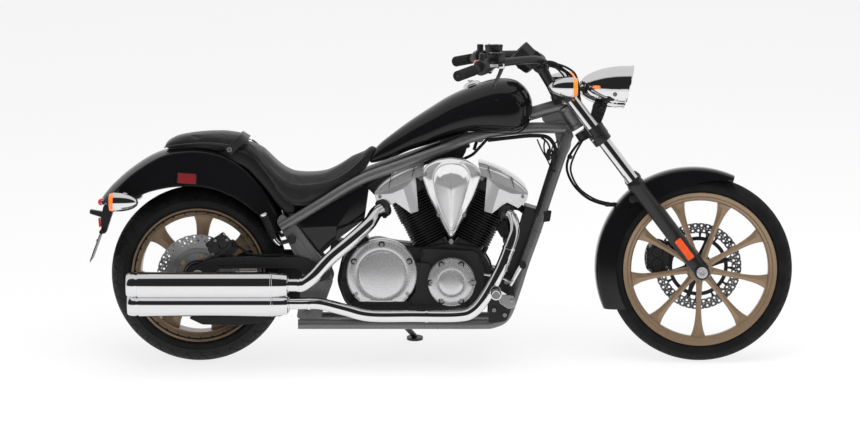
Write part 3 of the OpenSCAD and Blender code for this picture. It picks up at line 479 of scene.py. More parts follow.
def polished(key, slot, base, name, roughness=0.035, ripple=0.02, metallic=1.0):
    """Bright plating: almost clean, with faint wiping marks and long ripples."""
    f = Finish(name, base, roughness, metallic)
    wipe = f.noise(26.0, 5.0, 0.6, f.place((1.0, 1.0, 3.0)))
    f.set("Roughness", roughness + wipe.step(0.45, 0.8) * 0.05)
    f.set("Base Color", f.mix(wipe, base, shaded(base, 0.93)))
    f.bumps((f.noise(7.0, 1.0), ripple))
    f.done(key, slot)


def machined(key, slot, base, name, roughness=0.3, stretch=(1.0, 1.0, 60.0), turn=(0, 0, 0), metallic=1.0):
    """Satin aluminium: fine one-way brushing over a cloudy polish."""
    f = Finish(name, base, roughness, metallic)
    brush = f.noise(90.0, 4.0, 0.6, f.place(stretch, turn))
    cloud = f.noise(11.0, 3.0)
    f.set("Base Color", f.mix(brush * 0.6 + cloud * 0.4, shaded(base, 0.94), base))
    f.set("Roughness", roughness - 0.03 + brush * 0.06)
    f.bumps((brush, 0.003))
    f.done(key, slot)


def turned_steel(key, slot, base, name, hub):
    """Disc steel: fine circles about a hub point, with a heat tint and pad marks."""
    f = Finish(name, base, 0.3, 1.0)
    shift = f.node("VectorMath", {"operation": "DISTANCE"}, {0: f.place(), 1: tuple(hub)}, 1)
    rings = f.noise(1.0, 3.0, 0.6, f.node("CombineXYZ", {}, {0: shift * 1400.0, 1: 0.0, 2: 0.0}))
    cloud = f.noise(30.0, 3.0)
    f.set("Base Color", f.mix(rings * 0.7 + cloud * 0.3, shaded(base, 0.62), base))
    f.set("Roughness", 0.24 + rings * 0.2)
    f.bumps((rings, 0.03))
    f.done(key, slot)


def rubber(key, slot, base, name, roughness=0.72, grit=300.0, depth=0.09):
    """Moulded rubber: dull, finely pitted, with a dry bloom in patches."""
    f = Finish(name, base, roughness, Specular_IOR_Level=0.2)
    bloom = f.noise(18.0, 5.0)
    f.set("Base Color", f.mix(bloom.step(0.35, 0.75), base, shaded(base, 1.6, 0.001)))
    f.set("Roughness", roughness - 0.08 + bloom * 0.16)
    f.bumps((f.noise(grit, 4.0), depth))
    f.done(key, slot)


def hide(key, slot, base, name):
    """Grained vinyl: small round pebbles split by creases and a soft sheen, with painted shade darkening the
    creases and a painted highlight lightening the broad raised spots.
    """
    f = Finish(name, base, 0.46, Specular_IOR_Level=0.4, Sheen_Weight=0.15, Sheen_Roughness=0.5)
    pebble = f.cells(620.0, feature="SMOOTH_F1")
    crease = f.cells(210.0, feature="DISTANCE_TO_EDGE").step(0.0, 0.12)
    broad = f.noise(20.0, 5.0, 0.6)
    # painted shade and highlight: darker in the sunken creases, lighter where the broad bumps rise
    f.set("Base Color", f.mix(broad * 0.6 + crease * 0.4, shaded(base, 0.6), shaded(base, 1.35)))
    f.set("Roughness", 0.36 + pebble * 0.12 + broad * 0.1)
    f.bumps((1.0 - pebble, 0.16), (crease, 0.09), (broad, 0.5))
    f.done(key, slot)


def lens(key, slot, base, name, glow=0.25):
    """Moulded lamp plastic: prism squares under a clear face, a depth of colour and an emission of its own
    colour, which on reflectors and switches is a painted glow.
    """
    f = Finish(name, base, 0.12, Specular_IOR_Level=0.5)
    ribs = f.node("TexChecker", {}, {"Vector": f.place(), "Scale": 230.0}, 1)
    depth = f.noise(60.0, 2.0)
    f.set("Base Color", f.mix(ribs * 0.35 + depth * 0.4, base, tuple(min(1.0, 1.7 * c + 0.01) for c in base)))
    # emission of the plastic's colour: a faint lamp glow on lamp lenses, a painted glow standing in for
    # reflected light on reflectors and the stop switch
    f.set("Emission Color", (*base, 1.0))
    f.set("Emission Strength", glow)
    f.set("Coat Weight", 0.6)
    f.bumps((ribs, 0.25))
    f.done(key, slot)


def clear_glass(key, slot, name):
    """Thin clear cover glass: mostly see-through, with a bright gloss."""
    f = Finish(name, (0.92, 0.95, 0.97), 0.03, Specular_IOR_Level=0.6)
    f.set("Alpha", 0.14 + f.noise(40.0, 2.0) * 0.08)
    f.bumps((f.noise(60.0, 2.0), 0.02))
    f.material.surface_render_method = "BLENDED"
    f.done(key, slot)


def shaded(base, share, lift=0.0):
    """A colour times a share, plus a lift."""
    return tuple(share * c + lift for c in base)


def make_finishes(looks):
    """Every finish of the machine, from the colours the panel holds."""
    ink = tuple(looks.paint_colour)
    gloss_paint("gloss_black", "paint_black", ink, "Gloss black paint")
    flake_paint("gunmetal", "frame", (0.085, 0.084, 0.086), (0.21, 0.205, 0.205),
                "Gunmetal frame paint", 0.3, 0.6)
    bronze = tuple(looks.wheel_colour)
    flake_paint("bronze", "bronze", shaded(bronze, 0.72), shaded(bronze, 1.15),
                "Bronze wheel paint", 0.36, 0.4)
    satin_paint("satin_black", "satin_black", (0.007, 0.007, 0.0075), "Satin black coat", 0.36)
    # an extra dark black: the colour of some black parts, and painted shade on parts that sit under and
    # between others
    satin_paint("deep_black_and_shade", "satin_black", (0.003, 0.003, 0.0033), "Shaded black parts", 0.5)
    satin_paint("fin_black", "satin_black", (0.004, 0.004, 0.0043), "Black cylinder fins", 0.34)
    cast_metal("case_grey", "satin_black", (0.014, 0.014, 0.015), "Black crankcase casting", 0.42, 0.4)
    cast_metal("soot", "satin_black", (0.01, 0.009, 0.008), "Sooted inner pipe", 0.8, 0.2)
    polished("chrome", "chrome", tuple(looks.chrome_colour), "Chrome plate")
    # painted shade: a darker, rougher copy of the chrome plate, used on the rocker shields
    polished("shade_darkened_chrome", "chrome", (0.62, 0.62, 0.63), "Shaded chrome panel", 0.16, 0.02, 0.72)
    polished("soft_chrome", "chrome", (0.82, 0.82, 0.83), "Covers in bright plate", 0.09, 0.004, 0.72)
    machined("silver", "satin_silver", (0.62, 0.62, 0.63), "Satin silver covers", 0.27, (1, 1, 40),
             (0, 0, 0), 0.74)
    machined("zinc", "satin_silver", (0.5, 0.5, 0.51), "Plated fasteners", 0.34)
    turned_steel("rear_steel", "disc_steel", (0.62, 0.62, 0.63), "Rear disc steel", REAR_AXLE)
    # painted shade: the front disc's steel is a darker copy of the rear disc's, as that disc sits on the
    # machine's far side in shadow
    turned_steel("shade_darkened_front_steel", "disc_steel", (0.24, 0.24, 0.245), "Front disc steel darkened as shade", FRONT_AXLE)
    rubber("tyre", "tyre_rubber", (0.0055, 0.0055, 0.0058), "Tyre rubber", 0.66, 240.0, 0.12)
    rubber("hose", "black_rubber", (0.007, 0.007, 0.007), "Black hose rubber", 0.55)
    rubber("grip", "black_rubber", (0.009, 0.009, 0.009), "Grip rubber", 0.7)
    hide("hide", "seat_leather", tuple(looks.seat_colour), "Grained black vinyl")
    rubber("thread", "seat_leather", (0.03, 0.03, 0.032), "Piping and thread", 0.5, 900.0)
    # Lamp plastics glow faintly; where they cover the plate reflector (red), the fender reflectors (dim red),
    # the fork reflectors and the stop switch (orange), that glow is painted light, as these are no lamps.
    lens("amber", "amber_lens", (0.95, 0.16, 0.008), "Amber lamp plastic", 0.35)
    lens("red", "red_lens", (0.38, 0.006, 0.008), "Red lamp plastic", 0.3)
    lens("dim_red", "red_lens", (0.13, 0.004, 0.006), "Side reflector red", 0.12)
    lens("orange", "red_lens", (0.5, 0.055, 0.008), "Orange reflector plastic", 0.18)
    satin_paint("dial", "satin_black", (0.02, 0.02, 0.022), "Dial face", 0.5)
    satin_paint("tick_white", "clear_lens", (0.75, 0.75, 0.72), "Dial marks", 0.5)
    clear_glass("glass", "clear_lens", "Clear lamp glass")


# ---- bodywork ----

SHEET = 3.4  # thickness of both fenders
VOXEL, SWELL_FRAMES, SWELL_PRESSURE = 0.0055, 20, 4.0

# x, top, bottom, half width of the tank along the machine
TANK = [(612, 744, 728, 12), (620, 752, 718, 32), (650, 786, 722, 46), (700, 826, 738, 62),
        (760, 870, 764, 80), (830, 916, 786, 98), (900, 959, 810, 113), (975, 993, 828, 124),
        (1047, 1017, 829, 130), (1100, 1023, 826, 127), (1140, 1016, 826, 114), (1166, 999, 838, 95),
        (1184, 978, 862, 72), (1197, 950, 890, 40), (1200, 934, 906, 14)]
# x, top, bottom, half width of the rider's seat, and of the pad behind it
SEAT = [(150, 796, 764, 66), (172, 802, 744, 88), (204, 792, 702, 108), (244, 752, 656, 122),
        (285, 713, 606, 132), (326, 689, 568, 136), (366, 681, 560, 134), (420, 681, 572, 126),
        (471, 690, 598, 112), (520, 714, 628, 92), (570, 751, 672, 66), (600, 775, 700, 50),
        (620, 789, 736, 36), (638, 784, 764, 20)]
PILLION = [(-128, 782, 770, 40), (-112, 798, 766, 62), (-85, 811, 768, 76), (-40, 821, 771, 86),
           (20, 828, 773, 92), (80, 830, 766, 94), (125, 829, 758, 90), (150, 827, 762, 82),
           (172, 820, 776, 68), (184, 810, 790, 52)]
# crown, shoulder and lower edge in side view and half width, round the rear fender
FENDER = [(-345, 594, -338, 588, -328, 574, 62), (-330, 614, -316, 602, -290, 574, 88),
          (-304, 643, -290, 628, -238, 594, 108), (-250, 691, -236, 678, -180, 620, 117),
          (-177, 740, -168, 724, -127, 633, 120), (-110, 766, -106, 752, -78, 640, 121),
          (-30, 775, -32, 762, -27, 642, 121), (40, 770, 36, 758, 9, 640, 121),
          (110, 748, 102, 738, 60, 630, 121), (170, 708, 158, 702, 116, 608, 120),
          (222, 656, 208, 652, 165, 580, 119), (262, 604, 246, 602, 205, 548, 112),
          (296, 540, 280, 540, 240, 506, 100), (314, 480, 300, 480, 268, 462, 92)]


def signed_power(v, e):
    """The absolute value to a power, with the value's own sign."""
    return np.sign(v) * np.abs(v) ** e


def tank_skin():
    """Rings across the tank: y is the half width times cosine^0.82, z rises with sine^0.9 above 0.4 of the
    height and falls with sine^0.55 below it; the four numbers run on a curve along x."""
    rows = spline(TANK, 8)[:, :, None]
    a = np.arange(96) * 2 * pi / 96
    c, s = np.cos(a), np.sin(a)
    x, top, low, half = rows[:, 0], rows[:, 1], rows[:, 2], np.maximum(rows[:, 3], 2)
    mid = low + 0.4 * (top - low)
    z = np.where(s > 0, mid + (top - mid) * np.abs(s) ** 0.9, mid - (mid - low) * np.abs(s) ** 0.55)
    rings = np.stack([x + 0 * z, half * signed_power(c, 0.82), z], -1)
    return Skin().loft(rings)


def pad_rings(rows, around, upper, lower, level, shrink, n=40, steps=5):
    """Rings of a pad as the tank's, their powers given, drawn in by shrink mm for the filling to swell."""
    rows = spline(rows, steps)[:, :, None]
    a = np.arange(n) * 2 * pi / n
    c, s = np.cos(a), np.sin(a)
    x, top, low, half = rows[:, 0], rows[:, 1] - shrink, rows[:, 2] + shrink, rows[:, 3] - shrink
    mid = low + level * (top - low)
    z = np.where(s > 0, mid + (top - mid) * np.abs(s) ** upper, mid - (mid - low) * np.abs(s) ** lower)
    middle = rows[:, 0].mean()
    x = middle + (x - middle) * (1 - shrink / 200)
    return np.stack([x + 0 * z, half * signed_power(c, around), z], -1)


def swollen(name, skin, cap, finish, replaces):
    """Closed form remeshed evenly, filled with pressure as cloth, its points moved cap mm at most, then
    subdivided once."""
    points, faces = placed(np.vstack(skin.points)), skin.faces
    mesh = new_mesh(name, points, faces)
    obj = bpy.data.objects.new(name, mesh)
    bpy.context.scene.collection.objects.link(obj)
    bpy.context.view_layer.objects.active = obj
    obj.select_set(True)
    remesh = obj.modifiers.new("even mesh", "REMESH")
    remesh.mode = "VOXEL"
    remesh.voxel_size = VOXEL
    bpy.ops.object.modifier_apply(modifier=remesh.name)
    start = np.empty(len(obj.data.vertices) * 3)
    obj.data.vertices.foreach_get("co", start)
    start = start.reshape(-1, 3)
    cloth = obj.modifiers.new("filling", "CLOTH")
    cloth.settings.use_pressure = True
    cloth.settings.uniform_pressure_force = SWELL_PRESSURE
    cloth.settings.effector_weights.gravity = 0.0
    cloth.settings.quality = 4
    cloth.point_cache.frame_start, cloth.point_cache.frame_end = 1, SWELL_FRAMES
    scene = bpy.context.scene
    for number in range(1, SWELL_FRAMES + 1):
        scene.frame_set(number)
    bpy.ops.object.modifier_apply(modifier=cloth.name)
    scene.frame_set(1)
    now = np.empty_like(start).ravel()
    obj.data.vertices.foreach_get("co", now)
    move = now.reshape(-1, 3) - start
    far = np.linalg.norm(move, axis=1, keepdims=True)
    start = start + move * np.minimum(1.0, cap * MM / np.maximum(far, 1e-9))
    obj.data.vertices.foreach_set("co", start.ravel())
    obj.data.update()
    smooth = obj.modifiers.new("smooth", "SUBSURF")
    smooth.levels = smooth.render_levels = 1
    obj.data.shade_smooth()
    obj.data.materials.clear()
    obj.data.materials.append(MATERIALS[finish][0])
    obj.select_set(False)
    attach(obj, "chassis")
    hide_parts(*replaces)
    return obj


def shell_grid(skin, outer, thickness):
    """Sheet with thickness: the outer grid, the grid moved along its normals, and four edge strips."""
    du, dv = np.gradient(outer, axis=0), np.gradient(outer, axis=1)
    inner = outer + unit(np.cross(du, dv)) * thickness
    skin.grid(outer).grid(inner)
    for a, b in ((outer[0], inner[0]), (outer[-1], inner[-1]), (outer[:, 0], inner[:, 0]),
                 (outer[:, -1], inner[:, -1])):
        skin.grid(np.stack([a, b]))
    return skin


def fender_section(rows, share, side):
    """Points across the rear fender: crown to shoulder by (2 share)^2.2, shoulder to lower edge straight."""
    g = np.asarray(share, float)[None, :]
    crown, shoulder, edge, half = rows[:, None, 0:2], rows[:, None, 2:4], rows[:, None, 4:6], rows[:, None, 6]
    near = np.minimum(1, g / 0.5) ** 2.2
    far = np.maximum(0, (g - 0.5) / 0.5)
    plane = crown + (shoulder - crown) * near[..., None] + (edge - shoulder) * far[..., None]
    wide = half * np.where(g < 0.5, 1.66 * g, 0.83 + 0.34 * (g - 0.5))
    return np.stack([plane[..., 0], side * wide, plane[..., 1]], -1)


def fender_grid():
    """The whole rear fender skin, edge to edge, smoothed across its shoulders."""
    rows = spline(FENDER, 6)
    marks = np.array([0, 0.1, 0.2, 0.3, 0.38, 0.44, 0.5, 0.56, 0.64, 0.76, 0.88, 1.0])
    right = fender_section(rows, marks[::-1], -1)
    left = fender_section(rows, marks[1:], 1)
    across = np.concatenate([right, left], axis=1)
    return np.swapaxes(spline(np.swapaxes(across, 0, 1), 3), 0, 1)


def front_fender_grid():
    """The front fender skin: radius about the axle as the angle runs from 70 to 202 degrees, 16 mm of
    drop to the shoulders, straight skirts below, tapering to the tip."""
    a = np.linspace(70, 202, 90)[:, None]
    f = np.linspace(-1, 1, 61)[None, :]
    g = np.abs(f)
    r1 = 359 + 25 * np.clip((a - 70) / 60, 0, 1) - 7 * np.maximum(0, (a - 140) / 62)
    low = r1 - 16 - (r1 - 16 - 303) * np.clip((a - 66) / 32, 0, 1)
    q = np.minimum(1, g / 0.55)
    t = np.maximum(0, (g - 0.55) / 0.45)
    blend = np.clip((g - 0.45) / 0.2, 0, 1)
    r = r1 - 16 * q**2.4 - (r1 - 16 - low) * t * (0.6 + 0.4 * blend)
    y = np.sign(f) * 60 * np.where(g < 0.55, 0.9 * np.sin(q * pi / 2) ** 0.9, 0.9 + 0.1 * t)
    end = np.clip((a - 150) / 52, 0, 1) ** 2
    ar = np.radians(a + 6.5 * end * (r1 - r) / 80)
    return np.stack([WHEELBASE + r * np.cos(ar), y + 0 * r, FRONT_Z + r * np.sin(ar)], -1)


def build_tank(looks):
    piece("tank_shell", tank_skin(), "gloss_black", replaces=("fuel_tank",), crease=60)
    rows = spline(TANK, 6)[10:-10]
    seam = Skin()
    for side in SIDES:
        path = np.stack([rows[:, 0], side * (rows[:, 3] * 0.985 + 1), rows[:, 2] + 7], -1)
        lip = np.array([(-4, -1.5), (3, -1.5), (3, 1.5), (-4, 1.5)])
        seam.rod(path, lip, up=UP)
    piece("tank_seam_flanges", seam, "gloss_black", bevel=0.8)
    lean_back = (-sin(radians(17)), 0, cos(radians(17)))
    base = np.array((985, 0, 990.0))
    cap = [(0, -6), (35, -6), (36, 5), (34.5, 9), (31, 10), (30, 13), (28, 16), (20, 20), (9, 22), (0, 22.4)]
    piece("filler_cap", Skin().turned(cap, base, lean_back, 64), "chrome", replaces=("fuel_cap",), bevel=0.5)
    notch = Skin().block(base + np.array(lean_back) * 22.5, (24, 6, 3), 17).turned(
        [(0, 20), (8, 20), (8, 24), (6.5, 25), (0, 25)], base, lean_back, 32)
    piece("filler_cap_key_cover", notch, "zinc", bevel=0.6)


def build_fenders(looks):
    rear = shell_grid(Skin(), fender_grid(), SHEET)
    piece("rear_fender_shell", rear, "gloss_black", replaces=("rear_fender",), crease=50)
    rows = spline(FENDER, 6)
    lip = Skin()
    for side in SIDES:
        edge = fender_section(rows, [0.985], side)[:, 0]
        lip.rod(edge + (0, side * 1.0, 0), circle(3.2, 10))
    piece("rear_fender_rolled_edges", lip, "gloss_black")
    front = shell_grid(Skin(), front_fender_grid(), SHEET)
    piece("front_fender_shell", front, "gloss_black", body="steering", replaces=("front_fender",), crease=50)
    bolts = Skin()
    for side in SIDES:
        x, z = WHEELBASE - 245, 590
        bolts.turned([(0, -4), (13, -4), (14, 2), (12, 4), (0, 5)], (x, side * 57, z), (0, side, 0), 32)
        bolts.bolt((x, side * 60, z), (0, side, 0), 7, 5)
    piece("front_fender_bolts", bolts, "satin_black", body="steering", bevel=0.4)


def build_seat(looks):
    swollen("seat_pad", Skin().loft(pad_rings(SEAT, 0.62, 0.8, 0.45, 0.35, 5)), 9, "hide", ("seat",))
    seam = Skin()
    line = [(186, 792), (206, 776), (259, 715), (313, 666), (366, 650), (438, 654), (492, 668), (528, 688),
            (566, 718), (596, 748)]
    half = np.interp([p[0] for p in line], [r[0] for r in SEAT], [r[3] for r in SEAT])
    for side in SIDES:
        seam.tube([(x, side * (h + 1.2), z) for (x, z), h in zip(line, half)], 3.2, 12)
    piece("seat_piping", seam, "thread")
    pan = Skin()
    rows = np.array([(60, 764, 742, 50), (96, 772, 728, 84), (136, 778, 716, 96), (176, 768, 694, 98),
                     (214, 738, 656, 104), (250, 694, 616, 110), (285, 650, 568, 112), (318, 620, 536, 112),
                     (346, 600, 534, 108)], float)
    rows = spline(rows, 5)
    a = np.arange(40) * 2 * pi / 40
    c, s = signed_power(np.cos(a), 0.4), signed_power(np.sin(a), 0.4)
    mid, tall = (rows[:, 1:2] + rows[:, 2:3]) / 2, (rows[:, 1:2] - rows[:, 2:3]) / 2
    pan.loft(np.stack([rows[:, :1] + 0 * mid * c, rows[:, 3:4] * c, mid + tall * s], -1))
    piece("seat_base_pan", pan, "deep_black_and_shade", bevel=1.5)


def build_pillion(looks):
    swollen("pillion_pad", Skin().loft(pad_rings(PILLION, 0.6, 0.8, 0.45, 0.35, 4, steps=8)), 7, "hide",
            ("pillion_seat",))
    rows = spline(PILLION, 4)[2:-1]
    seam = Skin()
    for side in SIDES:
        path = np.stack([rows[:, 0], side * (rows[:, 3] + 0.5),
                         rows[:, 2] + 0.42 * (rows[:, 1] - rows[:, 2])], -1)
        seam.rod(path, circle(2.2, 10))
    piece("pillion_piping", seam, "thread")
    half = [(108, 100, 764), (120, 100, 776), (136, 98, 790), (151, 92, 803), (162, 80, 812), (168, 62, 817),
            (170, 34, 819), (171, 0, 820)]
    path = spline(np.vstack([half, mirrored(half[::-1])[1:]]), 6)
    share = np.abs(path[:, 1:2]) / 100
    run = unit(np.gradient(path, axis=0))
    lie = share * (0.68, 0.0, -0.73) + (1 - share) * (0.93, 0.0, -0.36)
    outward = unit(np.cross(run, lie))
    broad = unit(np.cross(outward, run))
    ring = [(-16, 0), (-14, 1.8), (14, 1.8), (16, 0), (14, -1.8), (-14, -1.8)]
    band = np.stack([path + broad * u + outward * v for u, v in ring], 1)
    piece("pillion_strap", Skin().loft(band), "hide", bevel=1.0)
    bolts = Skin()
    for side in SIDES:
        bolts.turned([(0, -6), (9, -6), (9, 2), (7, 4), (4, 4), (3.5, 1), (0, 1)], (114, side * 101, 772),
                     (0, side, 0.1), 24)
    piece("pillion_strap_bolts", bolts, "zinc", bevel=0.5)


# ---- wheels ----


def tyre_profile(r, w, crown, flange, rim_w, n=36):
    """Half a tyre's outside as (radius, width): an arc of the crown radius, a bulging wall, a bead."""
    edge = np.arcsin(0.96 * w / 2 / crown)
    a = np.linspace(0, edge, n)
    tread = np.stack([r - crown + crown * np.cos(a), crown * np.sin(a)], -1)
    shoulder, wall = tread[-1], (tread[-1, 0] + flange) / 2 + 4
    side = spline([shoulder, ((shoulder[0] + wall) / 2 + 3, w / 2 - 0.4), (wall, w / 2),
                   ((wall + flange) / 2, w / 2 - 0.4), (flange + 6, w / 2 - 3), (flange + 1, rim_w / 2 - 3)],
                  5)
    bead = [(flange - 3, rim_w / 2 - 5), (flange - 14, rim_w / 2 - 7)]
    return np.vstack([tread, side[1:], bead]), n


def tyre(profile, centre, grooves, n):
    """A whole tyre: both halves of the profile turned about the axle, sunk where the groove pattern says;
    the pattern takes the angle and the width across and gives a depth in mm."""
    half, tread = profile
    whole = np.vstack([half[::-1] * (1, -1), half[1:]])
    inner = np.array([(half[-1, 0] - 1, half[-1, 1] - 12), (half[-1, 0] - 1, 12 - half[-1, 1])])
    a = np.arange(n) * 2 * pi / n
    r, y = whole[:, 0][None, :], whole[:, 1][None, :]
    depth = grooves(a[:, None], y) * (np.abs(y) <= half[tread - 1, 1] + 0.5)
    r = r - depth
    g = np.stack([centre[0] + r * np.cos(a)[:, None], centre[1] + y + 0 * r,
                  centre[2] + r * np.sin(a)[:, None]], -1)
    close = np.stack([centre[0] + inner[:, 0] * np.cos(a)[:, None], centre[1] + inner[:, 1] + 0 * a[:, None],
                      centre[2] + inner[:, 0] * np.sin(a)[:, None]], -1)
    return Skin().grid(np.concatenate([g, close], axis=1), round_u=True, round_v=True)


def pulse(t, width, soft=0.12):
    """1 in a band of the given share of every turn, 0 outside, with soft sides."""
    d = np.abs((t % 1.0) - 0.5) * 2
    return np.clip((width - d) / soft, 0, 1)


def rear_grooves(a, y):
    """Long slanted slashes in two families on each side, and two thin rings near the middle."""
    s, g = a / (2 * pi) * 34, np.abs(y)
    shift = np.sign(y) * 0.12
    slash = pulse(s + 0.011 * g + shift, 0.16) * np.clip((g - 24) / 5, 0, 1) * np.clip((92 - g) / 6, 0, 1)
    short = pulse(s + 0.5 - 0.006 * g + shift, 0.11) * np.clip((g - 52) / 5, 0,
        1) * np.clip((97 - g) / 4, 0, 1)
    ring = np.clip(1 - np.abs(g - 17) / 2.6, 0, 1)
    return 4.2 * np.maximum(np.maximum(slash, short), ring)


def front_grooves(a, y):
    """Slanted cuts from near the middle to the shoulders and one zigzag ring."""
    s, g = a / (2 * pi) * 52, np.abs(y)
    cut = pulse(s + 0.022 * g + np.sign(y) * 0.25, 0.2) * np.clip((g - 9) / 3, 0,
        1) * np.clip((42 - g) / 3, 0, 1)
    ring = np.clip(1 - np.abs(g - 4 - 1.5 * np.sin(a * 52)) / 1.8, 0, 1)
    return 3.4 * np.maximum(cut, ring)


def wall_rings(skin, centre, radii, y):
    """Thin raised rings on a tyre's two walls."""
    height, width = 0.8, 2.0
    for side in SIDES:
        for r, out in zip(radii, y):
            skin.ring([(r - width, out - 2), (r - width / 2, out + height), (r + width / 2, out + height),
                       (r + width, out - 2)], centre, (0, side, 0), 144)
    return skin


def rim_ring(skin, centre, flange, w, steps):
    """Rim: both lips, stepped walls down to the well, a drop centre between; steps are (radius, width)."""
    outer = [(flange - 1.5, w / 2 - 2), (flange, w / 2), (flange - 2, w / 2 + 1.2)] + steps
    inside = [(flange - 31, w / 2 - 34), (flange - 31, 0)]
    half = outer + inside
    top = [(flange - 1.8, w / 2 - 5), (flange - 15, w / 2 - 7), (flange - 21, w / 2 - 26)]
    loop = half + [(r, -y) for r, y in half[::-1][1:]] + [(r, -y) for r, y in top] + top[::-1]
    return skin.ring(np.array(loop), centre, LEFT, 180)


def spoke(skin, centre, angle, rows):
    """Spoke: eight-sided sections out along a radius; rows are (radius, half width, half depth) and the
    faces meet in a ridge."""
    rows = spline(rows, 5)
    r, w, d = rows[:, 0, None], rows[:, 1, None], rows[:, 2, None]
    across = np.array([-1, -0.94, 0, 0.94, 1, 0.94, 0, -0.94])
    deep = np.array([0, 0.62, 1, 0.62, 0, -0.62, -1, -0.62])
    a = radians(angle)
    out, side = np.array((cos(a), 0, sin(a))), np.array((-sin(a), 0, cos(a)))
    ring = centre + r[..., None] * out + (w * across)[..., None] * side + (d * deep)[..., None] * (0, 1, 0)
    return skin.loft(ring)


REAR_HUB = np.array((0.0, 0.0, REAR_Z))
FRONT_HUB = np.array((WHEELBASE, 0.0, FRONT_Z))


def drilled_ring(skin, centre, y0, y1, r0, r1, rows, holes, hole_r):
    """Brake ring with holes: cells round the ring, each a square boundary of 16 points joined to a circle
    of 16 points on both faces, with the holes' walls, the rows staggered by half a cell."""
    edges = np.linspace(r0, r1, rows + 1)
    k = np.arange(16)
    t = (k + 0.5) / 16 * 2 * pi
    square = np.stack([np.cos(t), np.sin(t)], -1)
    square = square / np.max(np.abs(square), axis=1, keepdims=True)
    square = np.clip(square * 1.0001, -1, 1)
    cell = np.arange(holes) * 2 * pi / holes
    for row in range(rows):
        lo, hi = edges[row], edges[row + 1]
        mid, half_r, half_a = (lo + hi) / 2, (hi - lo) / 2, pi / holes
        base = cell[:, None] + (row % 2) * half_a
        ang, rad = base + square[None, :, 1] * half_a, mid + square[None, :, 0] * half_r + 0 * base
        hx, hz = mid + hole_r * np.cos(t), hole_r * np.sin(t)
        h_rad, h_ang = np.hypot(hx, hz)[None] + 0 * base, base + np.arctan2(hz, hx)[None]
        rings = []
        for rr, aa, y in ((rad, ang, y0), (h_rad, h_ang, y0), (h_rad, h_ang, y1), (rad, ang, y1)):
            rings.append(np.stack([rr * np.cos(aa), y + 0 * rr, rr * np.sin(aa)], -1))
        block = np.stack(rings, 1) + centre
        for one in block:
            skin.grid(one, round_v=True)
    for r in (r0, r1):
        a = np.arange(holes * 4) * 2 * pi / (holes * 4)
        wall = [np.stack([r * np.cos(a), y + 0 * a, r * np.sin(a)], -1) + centre for y in (y0, y1)]
        skin.grid(np.stack(wall), round_v=True)
    return skin


def build_rear_wheel(looks):
    carcass = tyre(tyre_profile(317.5, 200, 125, 241, 184), REAR_HUB, rear_grooves, 1080)
    piece("rear_tyre_carcass", carcass, "tyre", body="rear_wheel", replaces=("rear_tyre",), crease=38)
    walls = wall_rings(Skin(), REAR_HUB, (252, 268), (98.6, 100.0))
    piece("rear_tyre_wall_rings", walls, "tyre", body="rear_wheel")
    steps = [(238, 91), (233, 86), (226, 82), (221, 72), (217, 60)]
    wheel = rim_ring(Skin(), REAR_HUB, 241, 182, steps)
    for k in range(7):
        spoke(wheel, REAR_HUB, 85.5 + k * 360 / 7,
              [(36, 21, 27), (90, 20, 24), (150, 22.5, 21), (190, 30, 20), (216, 45, 22), (226, 56, 26)])
    wheel.turned([(0, -70), (40, -70), (42, -64), (44, -30), (46, -14), (46, 14), (44, 30), (42, 78),
                  (0, 84)], REAR_HUB, LEFT, 96)
    piece("rear_wheel_casting", wheel, "bronze", body="rear_wheel", replaces=("rear_rim",),
          bevel=1.4, crease=30)
    disc = drilled_ring(Skin(), REAR_HUB, -98, -92.5, 118, 148, 2, 32, 3.8)
    disc.ring([(100.5, -92.5), (118.1, -92.5), (118.1, -98), (100.5, -98)], REAR_HUB, LEFT, 128)
    piece("rear_disc_ring", disc, "rear_steel", body="rear_wheel", replaces=("rear_disc",), crease=25)
    carrier = Skin()
    carrier.ring([(46, -92), (98, -92.5), (101.5, -94), (101.5, -97), (98, -97.4), (60, -96.5), (46, -97)],
                 REAR_HUB, LEFT, 96)
    carrier.ring([(78, -97.2), (84, -97.2), (84, -98.8), (82.5, -99.4), (79.5, -99.4), (78, -98.8)],
                 REAR_HUB, LEFT, 96)
    piece("rear_disc_carrier", carrier, "rear_steel", body="rear_wheel", bevel=0.6)
    collar = Skin().ring([(20, -85), (52, -85), (56, -96), (56, -100), (50, -102), (40, -104), (22, -104)],
                         REAR_HUB, LEFT, 96)
    piece("rear_hub_collar", collar, "deep_black_and_shade", body="rear_wheel", bevel=0.6)
    bolts, tone = Skin(), Skin()
    for k in range(6):
        a = radians(60 * k + 20)
        spot = REAR_HUB + (72 * cos(a), -97, 72 * sin(a))
        bolts.hexagon(spot, RIGHT, 8, 8)
    piece("rear_disc_bolts", bolts, "bronze", body="rear_wheel", bevel=0.5)
    a = np.arange(240) * 2 * pi / 240
    teeth = 49 + 2.6 * (np.sin(a * 40) > 0)
    loop = np.stack([teeth * np.cos(a), 0 * a, teeth * np.sin(a)], -1) + REAR_HUB
    tone.loft(np.stack([loop + (0, -99, 0), loop + (0, -102.5, 0)]))
    piece("rear_tone_ring", tone, "zinc", body="rear_wheel")


